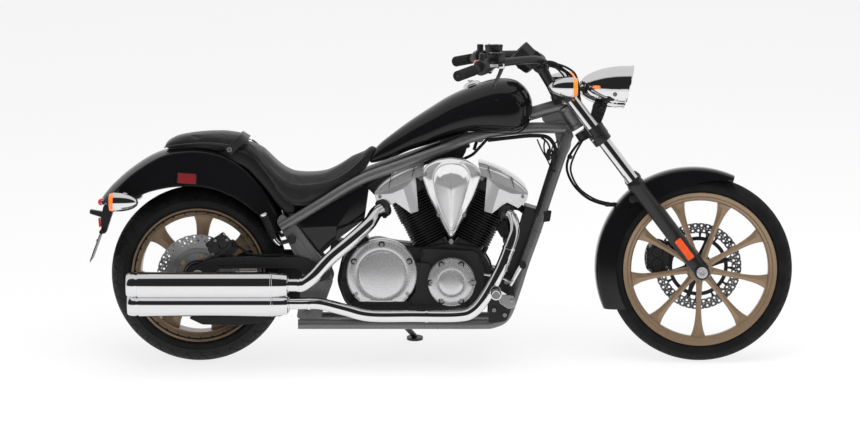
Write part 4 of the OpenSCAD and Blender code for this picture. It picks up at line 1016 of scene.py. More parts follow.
def build_front_wheel(looks):
    carcass = tyre(tyre_profile(333.9, 90, 50, 278, 74, 24), FRONT_HUB, front_grooves, 1248)
    piece("front_tyre_carcass", carcass, "tyre", body="front_wheel", replaces=("front_tyre",), crease=38)
    walls = wall_rings(Skin(), FRONT_HUB, (286, 300), (43.2, 44.8))
    piece("front_tyre_wall_rings", walls, "tyre", body="front_wheel")
    steps = [(272, 36.5), (264, 34), (260, 28), (252, 25), (247, 16)]
    wheel = rim_ring(Skin(), FRONT_HUB, 278, 74, steps)
    for k in range(9):
        spoke(wheel, FRONT_HUB, -91 + 40 * k,
              [(34, 14, 17), (80, 10.5, 15), (150, 10, 13), (205, 15, 13), (238, 24, 14), (254, 33, 18)])
    wheel.turned([(0, -55), (34, -55), (40, -50), (44, -40), (44, -20), (40, -14), (40, 14), (44, 20),
                  (44, 55), (0, 55)], FRONT_HUB, LEFT, 96)
    piece("front_wheel_casting", wheel, "bronze", body="front_wheel", replaces=("front_rim",),
          bevel=1.2, crease=30)
    ring = drilled_ring(Skin(), FRONT_HUB, 73.2, 78, 121, 157, 2, 40, 4.3)
    # the disc's darker steel is painted shade
    piece("front_disc_ring", ring, "shade_darkened_front_steel", body="front_wheel", replaces=("front_disc",), crease=25)
    carrier = Skin()
    for k in range(6):
        spoke(carrier, FRONT_HUB + (0, 75.6, 0), 60 * k + 12,
              [(46, 14, 4), (80, 9, 3.4), (112, 8, 3.4), (124, 16, 3.4)])
    carrier.ring([(22, 56), (50, 56), (50, 78), (44, 80), (24, 80)], FRONT_HUB, LEFT, 72)
    carrier.ring([(94, 73.6), (108, 73.6), (108, 77.2), (94, 77.2)], FRONT_HUB, LEFT, 96)
    for k in range(12):
        spoke(carrier, FRONT_HUB + (0, 75.4, 0), 30 * k + 27, [(104, 4.5, 2.6), (112, 4, 2.6), (124, 6, 2.6)])
    piece("front_disc_carrier", carrier, "satin_black", body="front_wheel", bevel=0.6)
    knobs = Skin()
    for k in range(6):
        a = radians(60 * k + 12)
        knobs.turned([(0, -3), (7.5, -3), (7.5, 4), (5, 5.4), (0, 5.6)],
                     FRONT_HUB + (120 * cos(a), 75.6, 120 * sin(a)), LEFT, 20)
        knobs.bolt(FRONT_HUB + (36 * cos(a), 80, 36 * sin(a)), LEFT, 6, 5)
    piece("front_disc_buttons", knobs, "zinc", body="front_wheel", bevel=0.4)


# ---- frame ----

RAIL = [(1318, 26, 842), (1180, 38, 842), (1010, 75, 822), (867, 100, 770), (724, 116, 718), (581, 120, 664),
        (438, 120, 579), (298, 120, 494)]
DOWN = [(1331, 30, 826), (1298, 46, 732), (1261, 62, 624), (1213, 84, 480), (1173, 98, 371), (1138, 106, 262),
        (1104, 110, 176), (1060, 110, 149), (1011, 110, 145), (858, 110, 145), (600, 110, 145),
        (358, 110, 145)]
BACKBONE = [(1322, 0, 926), (1276, 0, 918), (1200, 0, 896), (1100, 0, 868), (1000, 0, 840), (867, 0, 796)]
RAKE = radians(32)
TUBE = 18  # radius of the frame tubes
CLUTCH = (659, 0, 330)
STEM = np.array((-sin(RAKE), 0.0, cos(RAKE)))


def steer_at(z):
    """Point of the steering axis at a height."""
    return np.array((WHEELBASE + 92 - z * tan(RAKE), 0.0, z))


def build_frame(looks):
    rails = Skin().tube(RAIL, TUBE, 28).twice()
    piece("upper_rails", rails, "gunmetal", replaces=("frame_upper_rails",))
    cradle = Skin().tube(DOWN, TUBE, 28).twice()
    piece("down_tubes_and_cradle", cradle, "gunmetal", replaces=("frame_downtubes", "frame_lower_rails"))
    spine = Skin().tube(BACKBONE, 24, 32)
    spine.rod([(1010, -84, 812), (1010, 84, 812)], circle(15, 24))
    piece("backbone_tube", spine, "gunmetal", replaces=("frame_backbone",))
    head = Skin().turned([(14.5, -47), (33, -47), (36, -44), (36, -34), (32, -28), (32, 28), (36, 34),
                          (36, 44), (33, 47), (14.5, 47)], steer_at(885), STEM, 64)
    head.plate([(1232, 908), (1296, 912), (1330, 928), (1352, 855), (1292, 846), (1236, 866)], 12, -10, 10)
    head.plate([(1236, 860), (1316, 872), (1344, 832), (1338, 776), (1312, 722), (1294, 760), (1278, 838)],
               10, -22, 22)
    for x, z in ((1322, 850), (1328, 800), (1306, 760)):
        head.hexagon((x, -22, z), RIGHT, 7, 6).hexagon((x, 22, z), LEFT, 7, 6)
    piece("head_casting", head, "gunmetal", replaces=("steering_head",), bevel=1.5)
    welds = Skin()
    for path in (RAIL, DOWN):
        p = spline(path, 8)
        welds.ring([(TUBE - 2, -3), (TUBE + 2.2, -1.5), (TUBE + 2.2, 1.5), (TUBE - 2, 3)], p[1],
                   unit(p[2] - p[1]), 28)
    for p in (3, 6, 9):
        q = np.array(DOWN[p], float)
        way = unit(np.array(DOWN[p + 1], float) - q)
        welds.ring([(16, -3), (19.6, -1.2), (19.6, 1.2), (16, 3)], q, way, 28)
    piece("frame_weld_beads", welds.twice(), "gunmetal")
    plate = [(280, 516), (300, 545), (362, 494), (400, 440), (452, 372), (486, 305), (462, 240), (440, 166),
             (352, 164), (360, 210), (374, 330), (320, 449)]
    plates = Skin().plate(plate, 16, 97, 114)
    hollow = np.array([(330, 452), (352, 468), (388, 420), (436, 352), (458, 302), (440, 262),
                       (400, 300), (372, 380)])
    plates.plate(hollow, 10, 113, 117)
    plates.turned([(0, 112), (27, 112), (27, 119), (23, 122), (11, 122), (9, 119), (0, 119)], (430, 0, 330),
                  LEFT, 40)
    for x, z in ((392, 186), (436, 210), (310, 500), (470, 300)):
        plates.bolt((x, 116, z), LEFT, 9, 6)
    piece("pivot_castings", plates.twice(), "gunmetal", replaces=("pivot_plates",), bevel=2.4)
    spots = {"a": (362, 512, 121), "b": (597, 645, 115), "c": (612, 630, 113), "d": (597, 523, 113),
             "e": (494, 446, 122), "f": (443, 399, 122), "g": (370, 492, 122), "h": (499, 500, 137)}
    at = {key: np.array((x, y, z), float) for key, (x, z, y) in spots.items()}
    sides = Skin()
    for face in ("abh", "agh", "gfeh", "hed", "hdc", "hcb"):
        sides.cap([at[k] for k in face])
    rim = [at[k] for k in "abcdefg"]
    back = [p * (1, 0, 1) + (0, 100, 0) for p in rim]
    sides.grid(np.array([rim, back]), round_v=True).cap(back)
    piece("side_panels", sides.twice(), "gloss_black", replaces=("side_covers",), bevel=1.6, crease=8)
    arm = [(-42, 322), (-30, 352), (4, 364), (60, 388), (200, 390), (366, 390), (440, 366), (476, 340),
           (476, 318), (440, 300), (400, 316), (352, 350), (70, 348), (40, 300), (8, 280), (-28, 288)]
    o = softened(arm, 10)
    swing = Skin().slab(o, -141, -117).slab(o, 117, 141)
    swing.rod([(400, -120, 350), (400, 120, 350)], circle(26, 28))
    for side in SIDES:
        swing.plate([(70, 360), (356, 360), (356, 380), (70, 380)], 8, side * 140.5, side * 143)
        swing.bolt((-30, side * 141, 318), (0, side, 0), 8, 6)
        swing.turned([(0, 0), (14, 0), (14, 4), (0, 5)], (438, side * 141, 333), (0, side, 0), 32)
    piece("swingarm_box", swing, "satin_black", replaces=("swingarm",), bevel=2.5)


# ---- engine ----

CRANK = np.array((908.0, 0.0, 302.0))


def along(points, side):
    """Points (u across, y, w up the bore) of a cylinder that leans 26 degrees forward (1) or back (-1)."""
    p = np.asarray(points, float)
    a = side * radians(26)
    x = p[..., 0] * cos(a) + p[..., 2] * sin(a)
    z = -p[..., 0] * sin(a) + p[..., 2] * cos(a)
    return np.stack([x, p[..., 1], z], -1) + CRANK


def inset(outline, by):
    """Outline drawn towards its middle by a distance in mm at its mean radius."""
    o = np.asarray(outline, float)
    mid = o.mean(axis=0)
    size = np.linalg.norm(o - mid, axis=1).mean()
    return mid + (o - mid) * (1 - by / size)


def fin(skin, side, w, half_u, half_y, thick=1.7):
    """Cooling fin: a rounded rectangle across the bore, thinner at its rim."""
    box = softened([(-half_u, -half_y), (half_u, -half_y), (half_u, half_y), (-half_u, half_y)], 30, 5)
    rings = [np.stack([o[:, 0], o[:, 1], np.full(len(o), w + h)], -1) for o,
             h in ((inset(box, 26), -2.2), (box, -0.7 * thick), (box, 0.7 * thick), (inset(box, 26), 2.2))]
    return skin.loft(along(np.array(rings), side))


def build_cylinders(looks):
    for side, label in ((1, "front"), (-1, "rear")):
        fins = Skin()
        count = looks.fin_count
        for k in range(count):
            w = 160 + k * 178 / (count - 1)
            grow = 1.0 + 0.05 * (k > count // 2)
            fin(fins, side, w, 71 * grow, 87 * grow)
        core = along(np.array([[(58 * cos(a), 62 * sin(a), w) for a in np.arange(40) * pi / 20] for w in (108,
            345)]), side)
        fins.loft(core)
        piece("cylinder_fins_" + label, fins, "fin_black", replaces=("cylinder_" + label,), crease=40)
        base = Skin()
        for y in (-1, 1):
            box = softened([(-52, 108), (52, 108), (46, 152), (-46, 152)], 5, 3)
            small = inset(box, 9)
            ring = [np.stack([o[:, 0], np.full(len(o), d * y), o[:, 1]], -1)
                    for o, d in ((box, 60), (box, 96), (small, 97), (inset(small, 3), 90))]
            base.loft(along(np.array(ring), side))
        for u in (-62, 62):
            base.rod(along([(u, -60, 120), (u, -60, 160)], side), circle(9, 16))
        piece("cylinder_base_" + label, base, "satin_black", bevel=1.2)
        head = Skin()
        o = softened([(-86, -92), (86, -92), (86, 92), (-86, 92)], 22, 4)
        ring = [np.stack([p[:, 0], p[:, 1], np.full(len(p), w)], -1)
                for p, w in ((inset(o, 6), 339), (o, 343), (o, 372), (inset(o, 4), 376))]
        head.loft(along(np.array(ring), side))
        for u in (-60, 0, 60):
            for y in (-1, 1):
                end = along([(u, y * 94, 356)], side)[0]
                head.bolt(end, (0, y, 0), 7, 5)
        piece("cylinder_head_" + label, head, "satin_black", bevel=2.0)


# lower band edge, top edge of a rocker cover in side view, outer end first, for the rear cylinder
COVER_LOW = [(633, 610), (664, 620), (700, 636), (740, 655), (780, 672), (806, 684)]
COVER_TOP = [(634, 626), (652, 652), (690, 681), (738, 706), (782, 722), (812, 728)]


def flipped(outline, side):
    """Side-view outline of the rear cylinder, or its mirror image about the crank for the front one."""
    o = np.asarray(outline, float)
    return o if side < 0 else np.stack([2 * CRANK[0] - o[:, 0], o[:, 1]], -1)


def build_rocker_covers(looks):
    for side, label in ((1, "front"), (-1, "rear")):
        low, top = spline(flipped(COVER_LOW, side), 8), spline(flipped(COVER_TOP, side), 8)
        t = np.linspace(0, pi, 25)[None, :, None]
        lo, hi = low[:, None], top[:, None]
        rise = np.sin(t) ** 0.62
        plane = lo + (hi - lo) * rise
        y = np.broadcast_to(-104 * signed_power(np.cos(t), 0.5), plane.shape[:2] + (1,))
        arch = np.concatenate([plane[..., :1], y, plane[..., 1:]], -1)
        shell = Skin().grid(arch).cap(arch[0]).cap(arch[-1]).grid(np.stack([arch[:, 0], arch[:, -1]]))
        piece("rocker_arch_" + label, shell, "soft_chrome", replaces=("rocker_cover_" + label,),
              bevel=1.6, crease=40)
        panel = Skin()
        spots = {"a": (633, 611, 103), "b": (638, 590, 104), "c": (668, 562, 101), "d": (708, 583, 106),
                 "e": (763, 543, 103), "f": (790, 551, 98), "g": (781, 674, 98), "h": (736, 634, 114),
                 "i": (694, 616, 109), "j": (664, 621, 105), "k": (740, 654, 105)}
        for hand in (-1, 1):
            at = {}
            for key, (x, z, y) in spots.items():
                at[key] = np.array((x if side < 0 else 2 * CRANK[0] - x, hand * y, z))
            for face in ("abci", "cdi", "idh", "deh", "efgh", "hgk", "ihkj", "aij"):
                panel.cap([at[k] for k in face])
            rim = [at[k] for k in "abcdefgkj"]
            back = [p * (1, 0, 1) + (0, hand * 84, 0) for p in rim]
            panel.grid(np.array([rim, back]), round_v=True).cap(back)
        # the shields' darker chrome is painted shade
        piece("rocker_shield_" + label, panel, "shade_darkened_chrome", bevel=1.0, crease=12)
        seams, bolts = Skin(), Skin()
        for hand in (-1, 1):
            for x, z0, z1 in ((688, 634, 676), (771, 670, 712)):
                x = x if side < 0 else 2 * CRANK[0] - x
                seams.block((x, hand * 101, (z0 + z1) / 2), (2.2, 8, z1 - z0), -12 * side)
            for x, z in ((652, 604), (800, 668)):
                x = x if side < 0 else 2 * CRANK[0] - x
                bolts.bolt((x, hand * 105, z), (0, hand, 0), 6, 5)
        piece("rocker_seams_" + label, seams, "deep_black_and_shade")
        piece("rocker_bolts_" + label, bolts, "zinc", bevel=0.4)


def dense(outline, n=240):
    """Closed outline resampled at n even steps of its length."""
    o = np.vstack([outline, outline[:1]])
    run = np.concatenate([[0], np.cumsum(np.linalg.norm(np.diff(o, axis=0), axis=1))])
    t = np.arange(n) / n * run[-1]
    return np.stack([np.interp(t, run, o[:, 0]), np.interp(t, run, o[:, 1])], -1)


def build_air_cleaner(looks):
    outer = softened([(806, 702), (821, 724), (858, 743), (907, 750), (956, 743), (994, 724), (1013, 700),
                      (1011, 682), (987, 615), (956, 552), (925, 489), (907, 461), (889, 489), (858, 552),
                      (827, 615), (804, 682)], 14)
    rim = softened([(840, 668), (845, 700), (867, 726), (907, 735), (951, 726), (972, 700), (975, 672),
                    (960, 615), (938, 547), (907, 478), (874, 547), (849, 615)], 16)
    dish = softened([(850, 664), (858, 690), (880, 703), (907, 706), (935, 703), (957, 690), (964, 664),
                     (948, 600), (928, 540), (907, 494), (885, 540), (864, 600)], 14)
    middle = np.array((907.0, 640.0))
    a = np.linspace(-pi, pi, 240, endpoint=False)
    way = np.stack([np.cos(a), np.sin(a)], -1)

    def ring(outline, grow, y):
        r = polar(dense(outline, 600), middle, a)[:, None] + grow
        return at_y(middle + way * r, y)

    rows = [ring(outer, -6, -148), ring(outer, 0, -152), ring(outer, 0, -190), ring(outer, -2, -197),
            ring(outer, -6, -201)]
    edge, lip = ring(outer, -6, -201), ring(rim, 3, -208)
    rows += [edge * (1 - t) + lip * t for t in (0.35, 0.7, 1.0)]
    rows += [ring(rim, 0, -212), ring(rim, -3, -213.5), ring(rim, -6, -212.5)]
    face = ring(dish, 0, -203)
    rows += [rows[-1] * 0.5 + face * 0.5 + (0, -1.5, 0), face]
    for t in (0.8, 0.6, 0.4, 0.2, 0.06):
        inner = at_y(middle + (face[:, (0, 2)] - middle) * t, 0)
        inner[:, 1] = -203 - 3.5 * (1 - t) ** 1.2 - 1.5 * np.exp(-((inner[:, 0] - middle[0]) / 4.0) ** 2)
        rows.append(inner)
    body = Skin().loft(np.array(rows))
    piece("air_cleaner_shell", body, "soft_chrome", replaces=("air_cleaner",), crease=50)
    boot = Skin().plate([(862, 706), (946, 706), (934, 610), (872, 610)], 14, -150, -60)
    piece("air_cleaner_boot", boot, "satin_black", bevel=4)
    bolts = Skin()
    for x, z in ((814, 692), (1001, 692), (864, 548), (951, 548), (907, 452)):
        bolts.turned([(0, -190), (9, -190), (9.5, -200), (7, -204), (4, -204), (3.5, -200), (0, -200)],
                     (x, 0, z), LEFT, 24)
    piece("air_cleaner_bolts", bolts, "zinc", bevel=0.5)
    body = Skin().loft([at_y(softened([(848, 700), (958, 700), (952, 734), (930, 748), (876, 748),
                                       (852, 734)], 12), y) for y in (-56, 56)])
    body.rod([(905, 0, 620), (905, 0, 705)], circle(34, 32))
    for y in (-40, 0, 40):
        body.block((905, y, 690), (126, 8, 30))
    piece("intake_body", body, "satin_black", replaces=("throttle_body",), bevel=3)


def build_crankcase(looks):
    profile = [(520, 380), (552, 418), (640, 446), (700, 430), (800, 420), (908, 440), (1010, 420),
               (1052, 350), (1040, 262), (985, 206), (880, 186), (600, 186), (528, 214), (500, 290)]
    o = softened(profile, 26)
    case = Skin()
    narrow, wide = inset(o, 8), inset(o, -5)
    case.loft([at_y(narrow, -104), at_y(o, -96), at_y(o, -4), at_y(wide, -3), at_y(wide, 3), at_y(o, 4),
               at_y(o, 96), at_y(narrow, 104)])
    case.plate([(560, 182), (1000, 182), (1010, 214), (560, 214)], 10, -80, 80)
    piece("crankcase_halves", case, "case_grey", replaces=("crankcase",), bevel=2)
    web = Skin()
    web.plate([(776, 372), (836, 366), (824, 300), (868, 224), (742, 218), (782, 268)], 16, -142, -100)
    web.plate([(560, 236), (745, 236), (772, 212), (545, 212)], 8, -150, -100)
    web.plate([(800, 420), (1000, 410), (1030, 340), (1016, 250), (960, 205), (850, 205), (790, 240)],
              20, -128, -100)
    for x, z in ((800, 400), (1014, 380), (1028, 262), (968, 214), (520, 300), (540, 392)):
        web.bolt((x, -106 if x < 600 else -129, z), RIGHT, 8, 6)
    for k in range(6):
        web.rod([(828 + 12 * k, -127, 236 - 3 * k), (846 + 12 * k, -127, 212)], circle(2.5, 8))
    piece("case_side_web", web, "case_grey", bevel=3)
    cover = Skin().turned([(0, -100), (122, -100), (126, -106), (126, -160), (124.5, -166), (120, -170),
                           (104, -172.5), (92, -173.5), (88, -172), (86, -170.5), (84.5, -172), (84, -178),
                           (81.5, -181), (70, -183.3), (50, -185.6), (25, -187.2), (0, -187.8)],
                          CLUTCH, LEFT, 128)

    def flattened(p):
        """The outer ring's points below the flat foot raised to it."""
        outside = np.hypot(p[:, 0] - CLUTCH[0], p[:, 2] - CLUTCH[2]) > 90
        return np.stack([p[:, 0], p[:, 1], np.where(outside, np.maximum(p[:, 2], 233), p[:, 2])], -1)

    cover.moved(flattened)
    piece("clutch_cover_face", cover, "silver", replaces=("clutch_cover",), bevel=0.8, crease=35)
    wells, bolts = Skin(), Skin()
    spots = [(659, 439, -172), (560, 378, -172), (758, 378, -172), (568, 262, -168), (750, 262, -168)]
    spots += [(908 + 74 * cos(a), 302 + 74 * sin(a), -177) for a in np.radians((62, 118, 180, 242, 298, 0))]
    for x, z, y in spots:
        wells.turned([(0, y + 6), (11.5, y + 6), (11.5, y - 0.6), (9.6, y - 1.4), (9.4, y - 0.4),
                      (0, y - 0.4)], (x, 0, z), LEFT, 28)
        bolts.bolt((x, y - 1, z), RIGHT, 6.6, 4.5)
    piece("cover_bolt_wells", wells, "deep_black_and_shade")
    piece("cover_bolts", bolts, "zinc", bevel=0.4)
    timing = Skin().turned([(0, -100), (82, -100), (85, -104), (85, -168), (82, -174), (76, -177),
                            (60, -179.5), (50, -181), (46, -180), (44.5, -182), (44, -187), (41, -189),
                            (25, -191), (0, -192)], CRANK, LEFT, 96)
    piece("timing_cover_face", timing, "silver", replaces=("timing_cover",), bevel=0.8, crease=35)
    tab = Skin().plate([(968, 306), (996, 312), (996, 296), (968, 298)], 5, -184, -176)
    piece("timing_cover_tab", tab, "zinc", bevel=1)
    left = Skin().turned([(0, 100), (104, 100), (108, 106), (108, 150), (104, 157), (78, 160), (72, 158),
                          (70, 164), (66, 168), (40, 170), (0, 171)], (888, 0, 310), LEFT, 96)
    left.turned([(0, 100), (82, 100), (84, 104), (84, 134), (80, 139), (50, 141), (0, 142)],
                (690, 0, 330), LEFT, 80)
    piece("alternator_cover_face", left, "silver", replaces=("alternator_cover",), bevel=0.8, crease=35)
    knobs = Skin()
    for k in range(6):
        a = radians(60 * k + 30)
        knobs.bolt((888 + 92 * cos(a), 160, 310 + 92 * sin(a)), LEFT, 7, 5)
        knobs.bolt((690 + 68 * cos(a), 141, 330 + 68 * sin(a)), LEFT, 6, 4)
    piece("left_cover_bolts", knobs, "zinc", bevel=0.4)
    bosses = Skin()
    bosses.rod([(585, -60, 440), (585, 60, 440)], circle(26, 28))
    bosses.block((505, 0, 420), (60, 150, 40), 12)
    bosses.rod([(1046, -50, 300), (1046, 50, 300)], circle(36, 32))
    for y in (-34, 0, 34):
        bosses.ring([(34, -3), (38, -2), (38, 2), (34, 3)], (1046, y, 300), LEFT, 40)
    piece("engine_bosses", bosses, "satin_black", bevel=2)


# ---- exhaust ----

FRONT_PIPE = [(1096, -94, 548), (1122, -118, 532), (1132, -150, 490), (1117, -176, 439), (1081, -200, 349),
              (1029, -212, 254), (986, -212, 204), (930, -210, 187), (770, -204, 186), (617, -196, 186),
              (528, -188, 206), (440, -184, 227), (372, -184, 228), (322, -184, 228)]
REAR_PIPE = [(672, -94, 566), (640, -122, 548), (612, -160, 510), (539, -206, 446), (470, -228, 388),
             (416, -244, 330), (378, -244, 302), (354, -244, 302), (322, -244, 302)]


def build_exhaust(looks):
    piece("front_header_pipe", Skin().tube(FRONT_PIPE, 21.5, 36), "chrome", replaces=("front_header",))
    piece("rear_header_pipe", Skin().tube(REAR_PIPE, 24, 36), "chrome", replaces=("rear_header",))
    bands = Skin()
    for x, y, z, way, r in ((820, -206, 186, (-1, 0.03, 0), 21.5), (400, -184, 228, FORWARD, 21.5),
                            (372, -244, 302, FORWARD, 24), (1112, -181, 425, (0.35, 0.2, 0.9), 21.5)):
        bands.ring([(r - 1, -6), (r + 1.8, -5), (r + 2.2, 0), (r + 1.8, 5), (r - 1, 6)], (x, y, z), way, 40)
    piece("header_bands", bands, "chrome")
    flange = Skin()
    for start, after in ((FRONT_PIPE[0], FRONT_PIPE[1]), (REAR_PIPE[0], REAR_PIPE[1])):
        p, way = np.array(start, float), unit(np.array(after, float) - start)
        flange.turned([(0, -10), (31, -10), (33, -6), (33, 8), (28, 12), (0, 12)], p + way * 10, way, 36)
        side = unit(np.cross(way, (0, 1, 0)))
        for s in (-1, 1):
            flange.hexagon(p + way * 20 + side * 26 * s, way, 7, 9)
    piece("header_flanges", flange, "satin_black", bevel=1)
    for label, y, z in (("upper", -244, 302), ("lower", -184, 228)):
        body = [(24, 327), (33, 326), (38.5, 323), (40.5, 317), (42.5, 298), (45, 274), (46, 262), (46, 100),
                (46, -60), (46, -204), (45, -208), (42.4, -209), (42.4, -212), (44.4, -215), (45, -226),
                (43.4, -238), (40, -246), (37, -248), (34.8, -245), (34.6, -238)]
        rings = lathe(body, (0, y, z), FORWARD, 96)
        skin = Skin().grid(rings, round_v=True).cap(rings[0]).cap(rings[-1])
        piece("muffler_shell_" + label, skin, "chrome", replaces=("mufflers",), crease=40)
        ring = Skin().ring([(45.9, 263), (47, 264.5), (47, 269), (45.4, 270.5)], (0, y, z), FORWARD, 96)
        ring.ring([(27, 322), (29, 323), (29, 329), (26, 330)], (0, y, z), FORWARD, 64)
        piece("muffler_bands_" + label, ring, "chrome")
        tip = Skin().turned([(0, -226), (34.2, -226), (34.4, -236), (22, -236.6), (20.5, -238), (20.5, -244),
                             (18.5, -244), (18.5, -230), (0, -230)], (0, y, z), FORWARD, 64)
        piece("muffler_inner_" + label, tip, "soot")
    hold = Skin().plate([(40, 318), (330, 318), (330, 196), (300, 176), (60, 176), (40, 200)], 14, -136, -130)
    for x in (80, 290):
        hold.block((x, -150, 262), (30, 34, 16)).bolt((x, -126, 300), RIGHT, 8, 6)
    hold.plate([(286, 346), (384, 352), (404, 300), (384, 214), (300, 206), (280, 262)], 8, -112, -102)
    piece("muffler_bracket_plate", hold, "deep_black_and_shade", bevel=1.5)
    tray = Skin().plate([(-30, 170), (16, 148), (150, 145), (274, 164), (274, 176), (-24, 178)], 8, -150,
                        -104)
    piece("muffler_under_tray", tray, "deep_black_and_shade", bevel=2)


# ---- fork and head ----

FORK_TAN = tan(radians(37.1))
FORK = unit(np.array((-FORK_TAN, 0.0, 1.0)))
FORK_HALF = 112.0


BAR_CLAMP, BAR_FOOT = np.array((1226.0, 0, 1070)), np.array((1290, 0, 952))
LAMP_Z = 990


def fork_at(z, y=0.0):
    """Point of a fork leg at a height."""
    return np.array((WHEELBASE + (FRONT_Z - z) * FORK_TAN, y, z))


def from_axle(outline):
    """Side-view points given ahead of the front axle."""
    return np.asarray(outline, float) + (WHEELBASE, 0)


def clamp_plate(skin, z, thick, outline):
    """Clamp: an outline in the plane square to the steering axis, given as (forward, across)."""
    ahead = np.array((cos(RAKE), 0.0, sin(RAKE)))
    o = softened([(u, v) for u, v in outline] + [(u, -v) for u, v in outline[::-1]], 12)
    flat = o[:, :1] * ahead + o[:, 1:] * np.array((0.0, 1.0, 0.0))
    return skin.loft([steer_at(z) + flat + STEM * h for h in (-thick / 2, thick / 2)])


def build_fork(looks):
    tubes, legs, seals = Skin(), Skin(), Skin()
    for side in SIDES:
        y = side * FORK_HALF
        tubes.turned([(0, 0), (22.5, 0), (22.5, 472), (21, 476), (18, 478), (17.5, 484), (9, 485), (8, 482),
                      (0, 482)], fork_at(600, y), FORK, 48)
        base = fork_at(FRONT_Z + 2, y)
        length = (655 - FRONT_Z) / FORK[2]
        profile = [(0, -30), (22, -28), (25, -10), (26.5, 20), (27.5, 60), (28, 120), (28, length - 24),
                   (31, length - 20), (31.5, length - 8), (30, length - 2), (26, length), (23, length + 0.4),
                   (0, length + 0.4)]
        legs.turned(profile, base, FORK, 56)
        legs.turned([(0, -27), (25, -27), (28, -24), (28, 25), (25, 29), (0, 29)], (WHEELBASE, y, FRONT_Z),
                    (0, side, 0), 56)
        ahead = np.array((-FORK[2], 0, FORK[0]))
        legs.block(base + FORK * 26 - ahead * 16, (30, 30, 60), -37)
        seals.turned([(22, 0), (27.5, 0), (28, 4), (24, 9), (22.7, 9)], base + FORK * length, FORK, 48)
        legs.rod([(WHEELBASE - 245, side * 58, 590), fork_at(590, side * (FORK_HALF - 6))], circle(9, 18))
    piece("fork_inner_tubes", tubes, "chrome", body="steering", replaces=("fork_tubes",), crease=40)
    piece("fork_lower_legs", legs, "satin_black", body="steering", replaces=("fork_sliders",),
          bevel=1.2, crease=40)
    piece("fork_dust_seals", seals, "hose", body="steering")
    marks, cups = Skin(), Skin()
    for side in SIDES:
        middle = fork_at(418, side * (FORK_HALF + 24))
        ahead = np.array((FORK[2], 0, -FORK[0]))
        flat = softened([(-43, -13), (43, -13), (43, 13), (-43, 13)], 5)
        for skin, grow, y0, y1 in ((cups, 1.1, 0, 5), (marks, 1.0, 2, 8)):
            o = flat * grow
            spots = middle + o[:, :1] * FORK + o[:, 1:] * ahead
            skin.loft([spots + (0, side * y0, 0), spots + (0, side * y1, 0)])
    # the reflectors' glow is painted light
    piece("fork_reflectors", marks, "orange", body="steering", bevel=1)
    piece("fork_reflector_cups", cups, "satin_black", body="steering", bevel=0.6)
    plates = Skin()
    clamp_plate(plates, 952, 26, [(-32, 22), (-12, 62), (4, 104), (8, 138), (26, 150), (50, 146), (64, 126),
                                  (62, 96), (50, 60), (46, 16)])
    clamp_plate(plates, 818, 34, [(-28, 9), (-22, 21), (0, 32), (14, 62), (22, 104), (22, 140), (38, 152),
                                  (64, 148), (80, 126), (78, 96), (64, 58), (58, 16)])
    plates.turned([(0, -10), (30, -10), (30, 14), (22, 18), (20, 32), (0, 32)], steer_at(958), STEM, 40)
    for z in (952, 818):
        for side in SIDES:
            low = -22 if z < 900 else 2
            plates.turned([(0, low), (32, low), (34, low + 4), (34, 18), (32, 22), (23, 22)],
                          fork_at(z, side * FORK_HALF), FORK, 48)
    piece("fork_clamps", plates, "satin_black", body="steering", replaces=("triple_clamps",),
          bevel=2.5, crease=40)
    nuts = Skin()
    nuts.hexagon(steer_at(978), STEM, 16, 14)
    for z in (952, 818):
        for side in SIDES:
            nuts.bolt(fork_at(z, side * FORK_HALF) + (-26, side * 18, -8),
                      unit((-0.6, side * 0.5, 0.1)), 7, 8)
    piece("fork_clamp_nuts", nuts, "zinc", body="steering", bevel=0.6)
    axle = Skin()
    for side in SIDES:
        axle.turned([(0, 20), (19, 20), (20, 24), (20, 40), (17, 43), (9, 43), (8, 37), (0, 37)],
                    (WHEELBASE, side * FORK_HALF, FRONT_Z), (0, side, 0), 48)
    axle.rod([(WHEELBASE, -120, FRONT_Z), (WHEELBASE, 120, FRONT_Z)], circle(12, 24))
    piece("front_axle_ends", axle, "silver", body="steering", replaces=("front_axle",), bevel=0.8)


def build_caliper(looks):
    grab = Skin()
    o = softened(from_axle([(-188, 318), (-150, 300), (-118, 318), (-106, 372), (-118, 424), (-152, 436),
                            (-186, 412), (-196, 366)]), 20)
    grab.slab(o, 88, 103).slab(inset(o, 6), 42, 62)
    grab.plate(from_axle([(-190, 330), (-168, 330), (-168, 404), (-190, 404)]), 6, 58, 92)
    for z in (344, 388):
        grab.turned([(0, 0), (19, 0), (20, 4), (16, 8), (0, 9)], (WHEELBASE - 150, 100, z), LEFT, 32)
    grab.plate(from_axle([(-145, 320), (-145, 400), (-75, 440), (-45, 400)]), 14, 86, 98)
    for z in (346, 390):
        grab.turned([(0, -44), (20, -44), (21, -41), (18, -38), (9, -38), (8, -40), (0, -40)],
                    (WHEELBASE - 150, 0, z), RIGHT, 32)
    grab.plate(from_axle([(-128, 316), (-110, 324), (-104, 420), (-124, 430)]), 5, 38, 68)
    for k in range(4):
        grab.block((WHEELBASE - 184, 50, 340 + 17 * k), (12, 34, 6), 8)
    piece("front_caliper_body", grab, "satin_black", body="steering", replaces=("front_caliper",), bevel=2)
    pins = Skin()
    for x, z in ((-176, 324), (-176, 414), (-117, 334), (-112, 410)):
        pins.bolt((WHEELBASE + x, 38, z), RIGHT, 6, 5)
    piece("front_caliper_pins", pins, "zinc", body="steering", bevel=0.4)


def bullet(skin, base, length, r, way):
    """Lamp shell: the radius falls as the root of one less the 2.2 power of the share of its length."""
    s = np.linspace(0, 1, 26)
    radius = r * np.sqrt(np.maximum(0, 1 - (s * 0.995) ** 2.2))
    profile = np.concatenate([[(0, 0), (r - 2, 0), (r, 1.5)],
                              np.stack([radius[1:-1], 2 + (length - 2) * s[1:-1]], -1), [(0, length)]])
    return skin.turned(profile, base, way, 48)


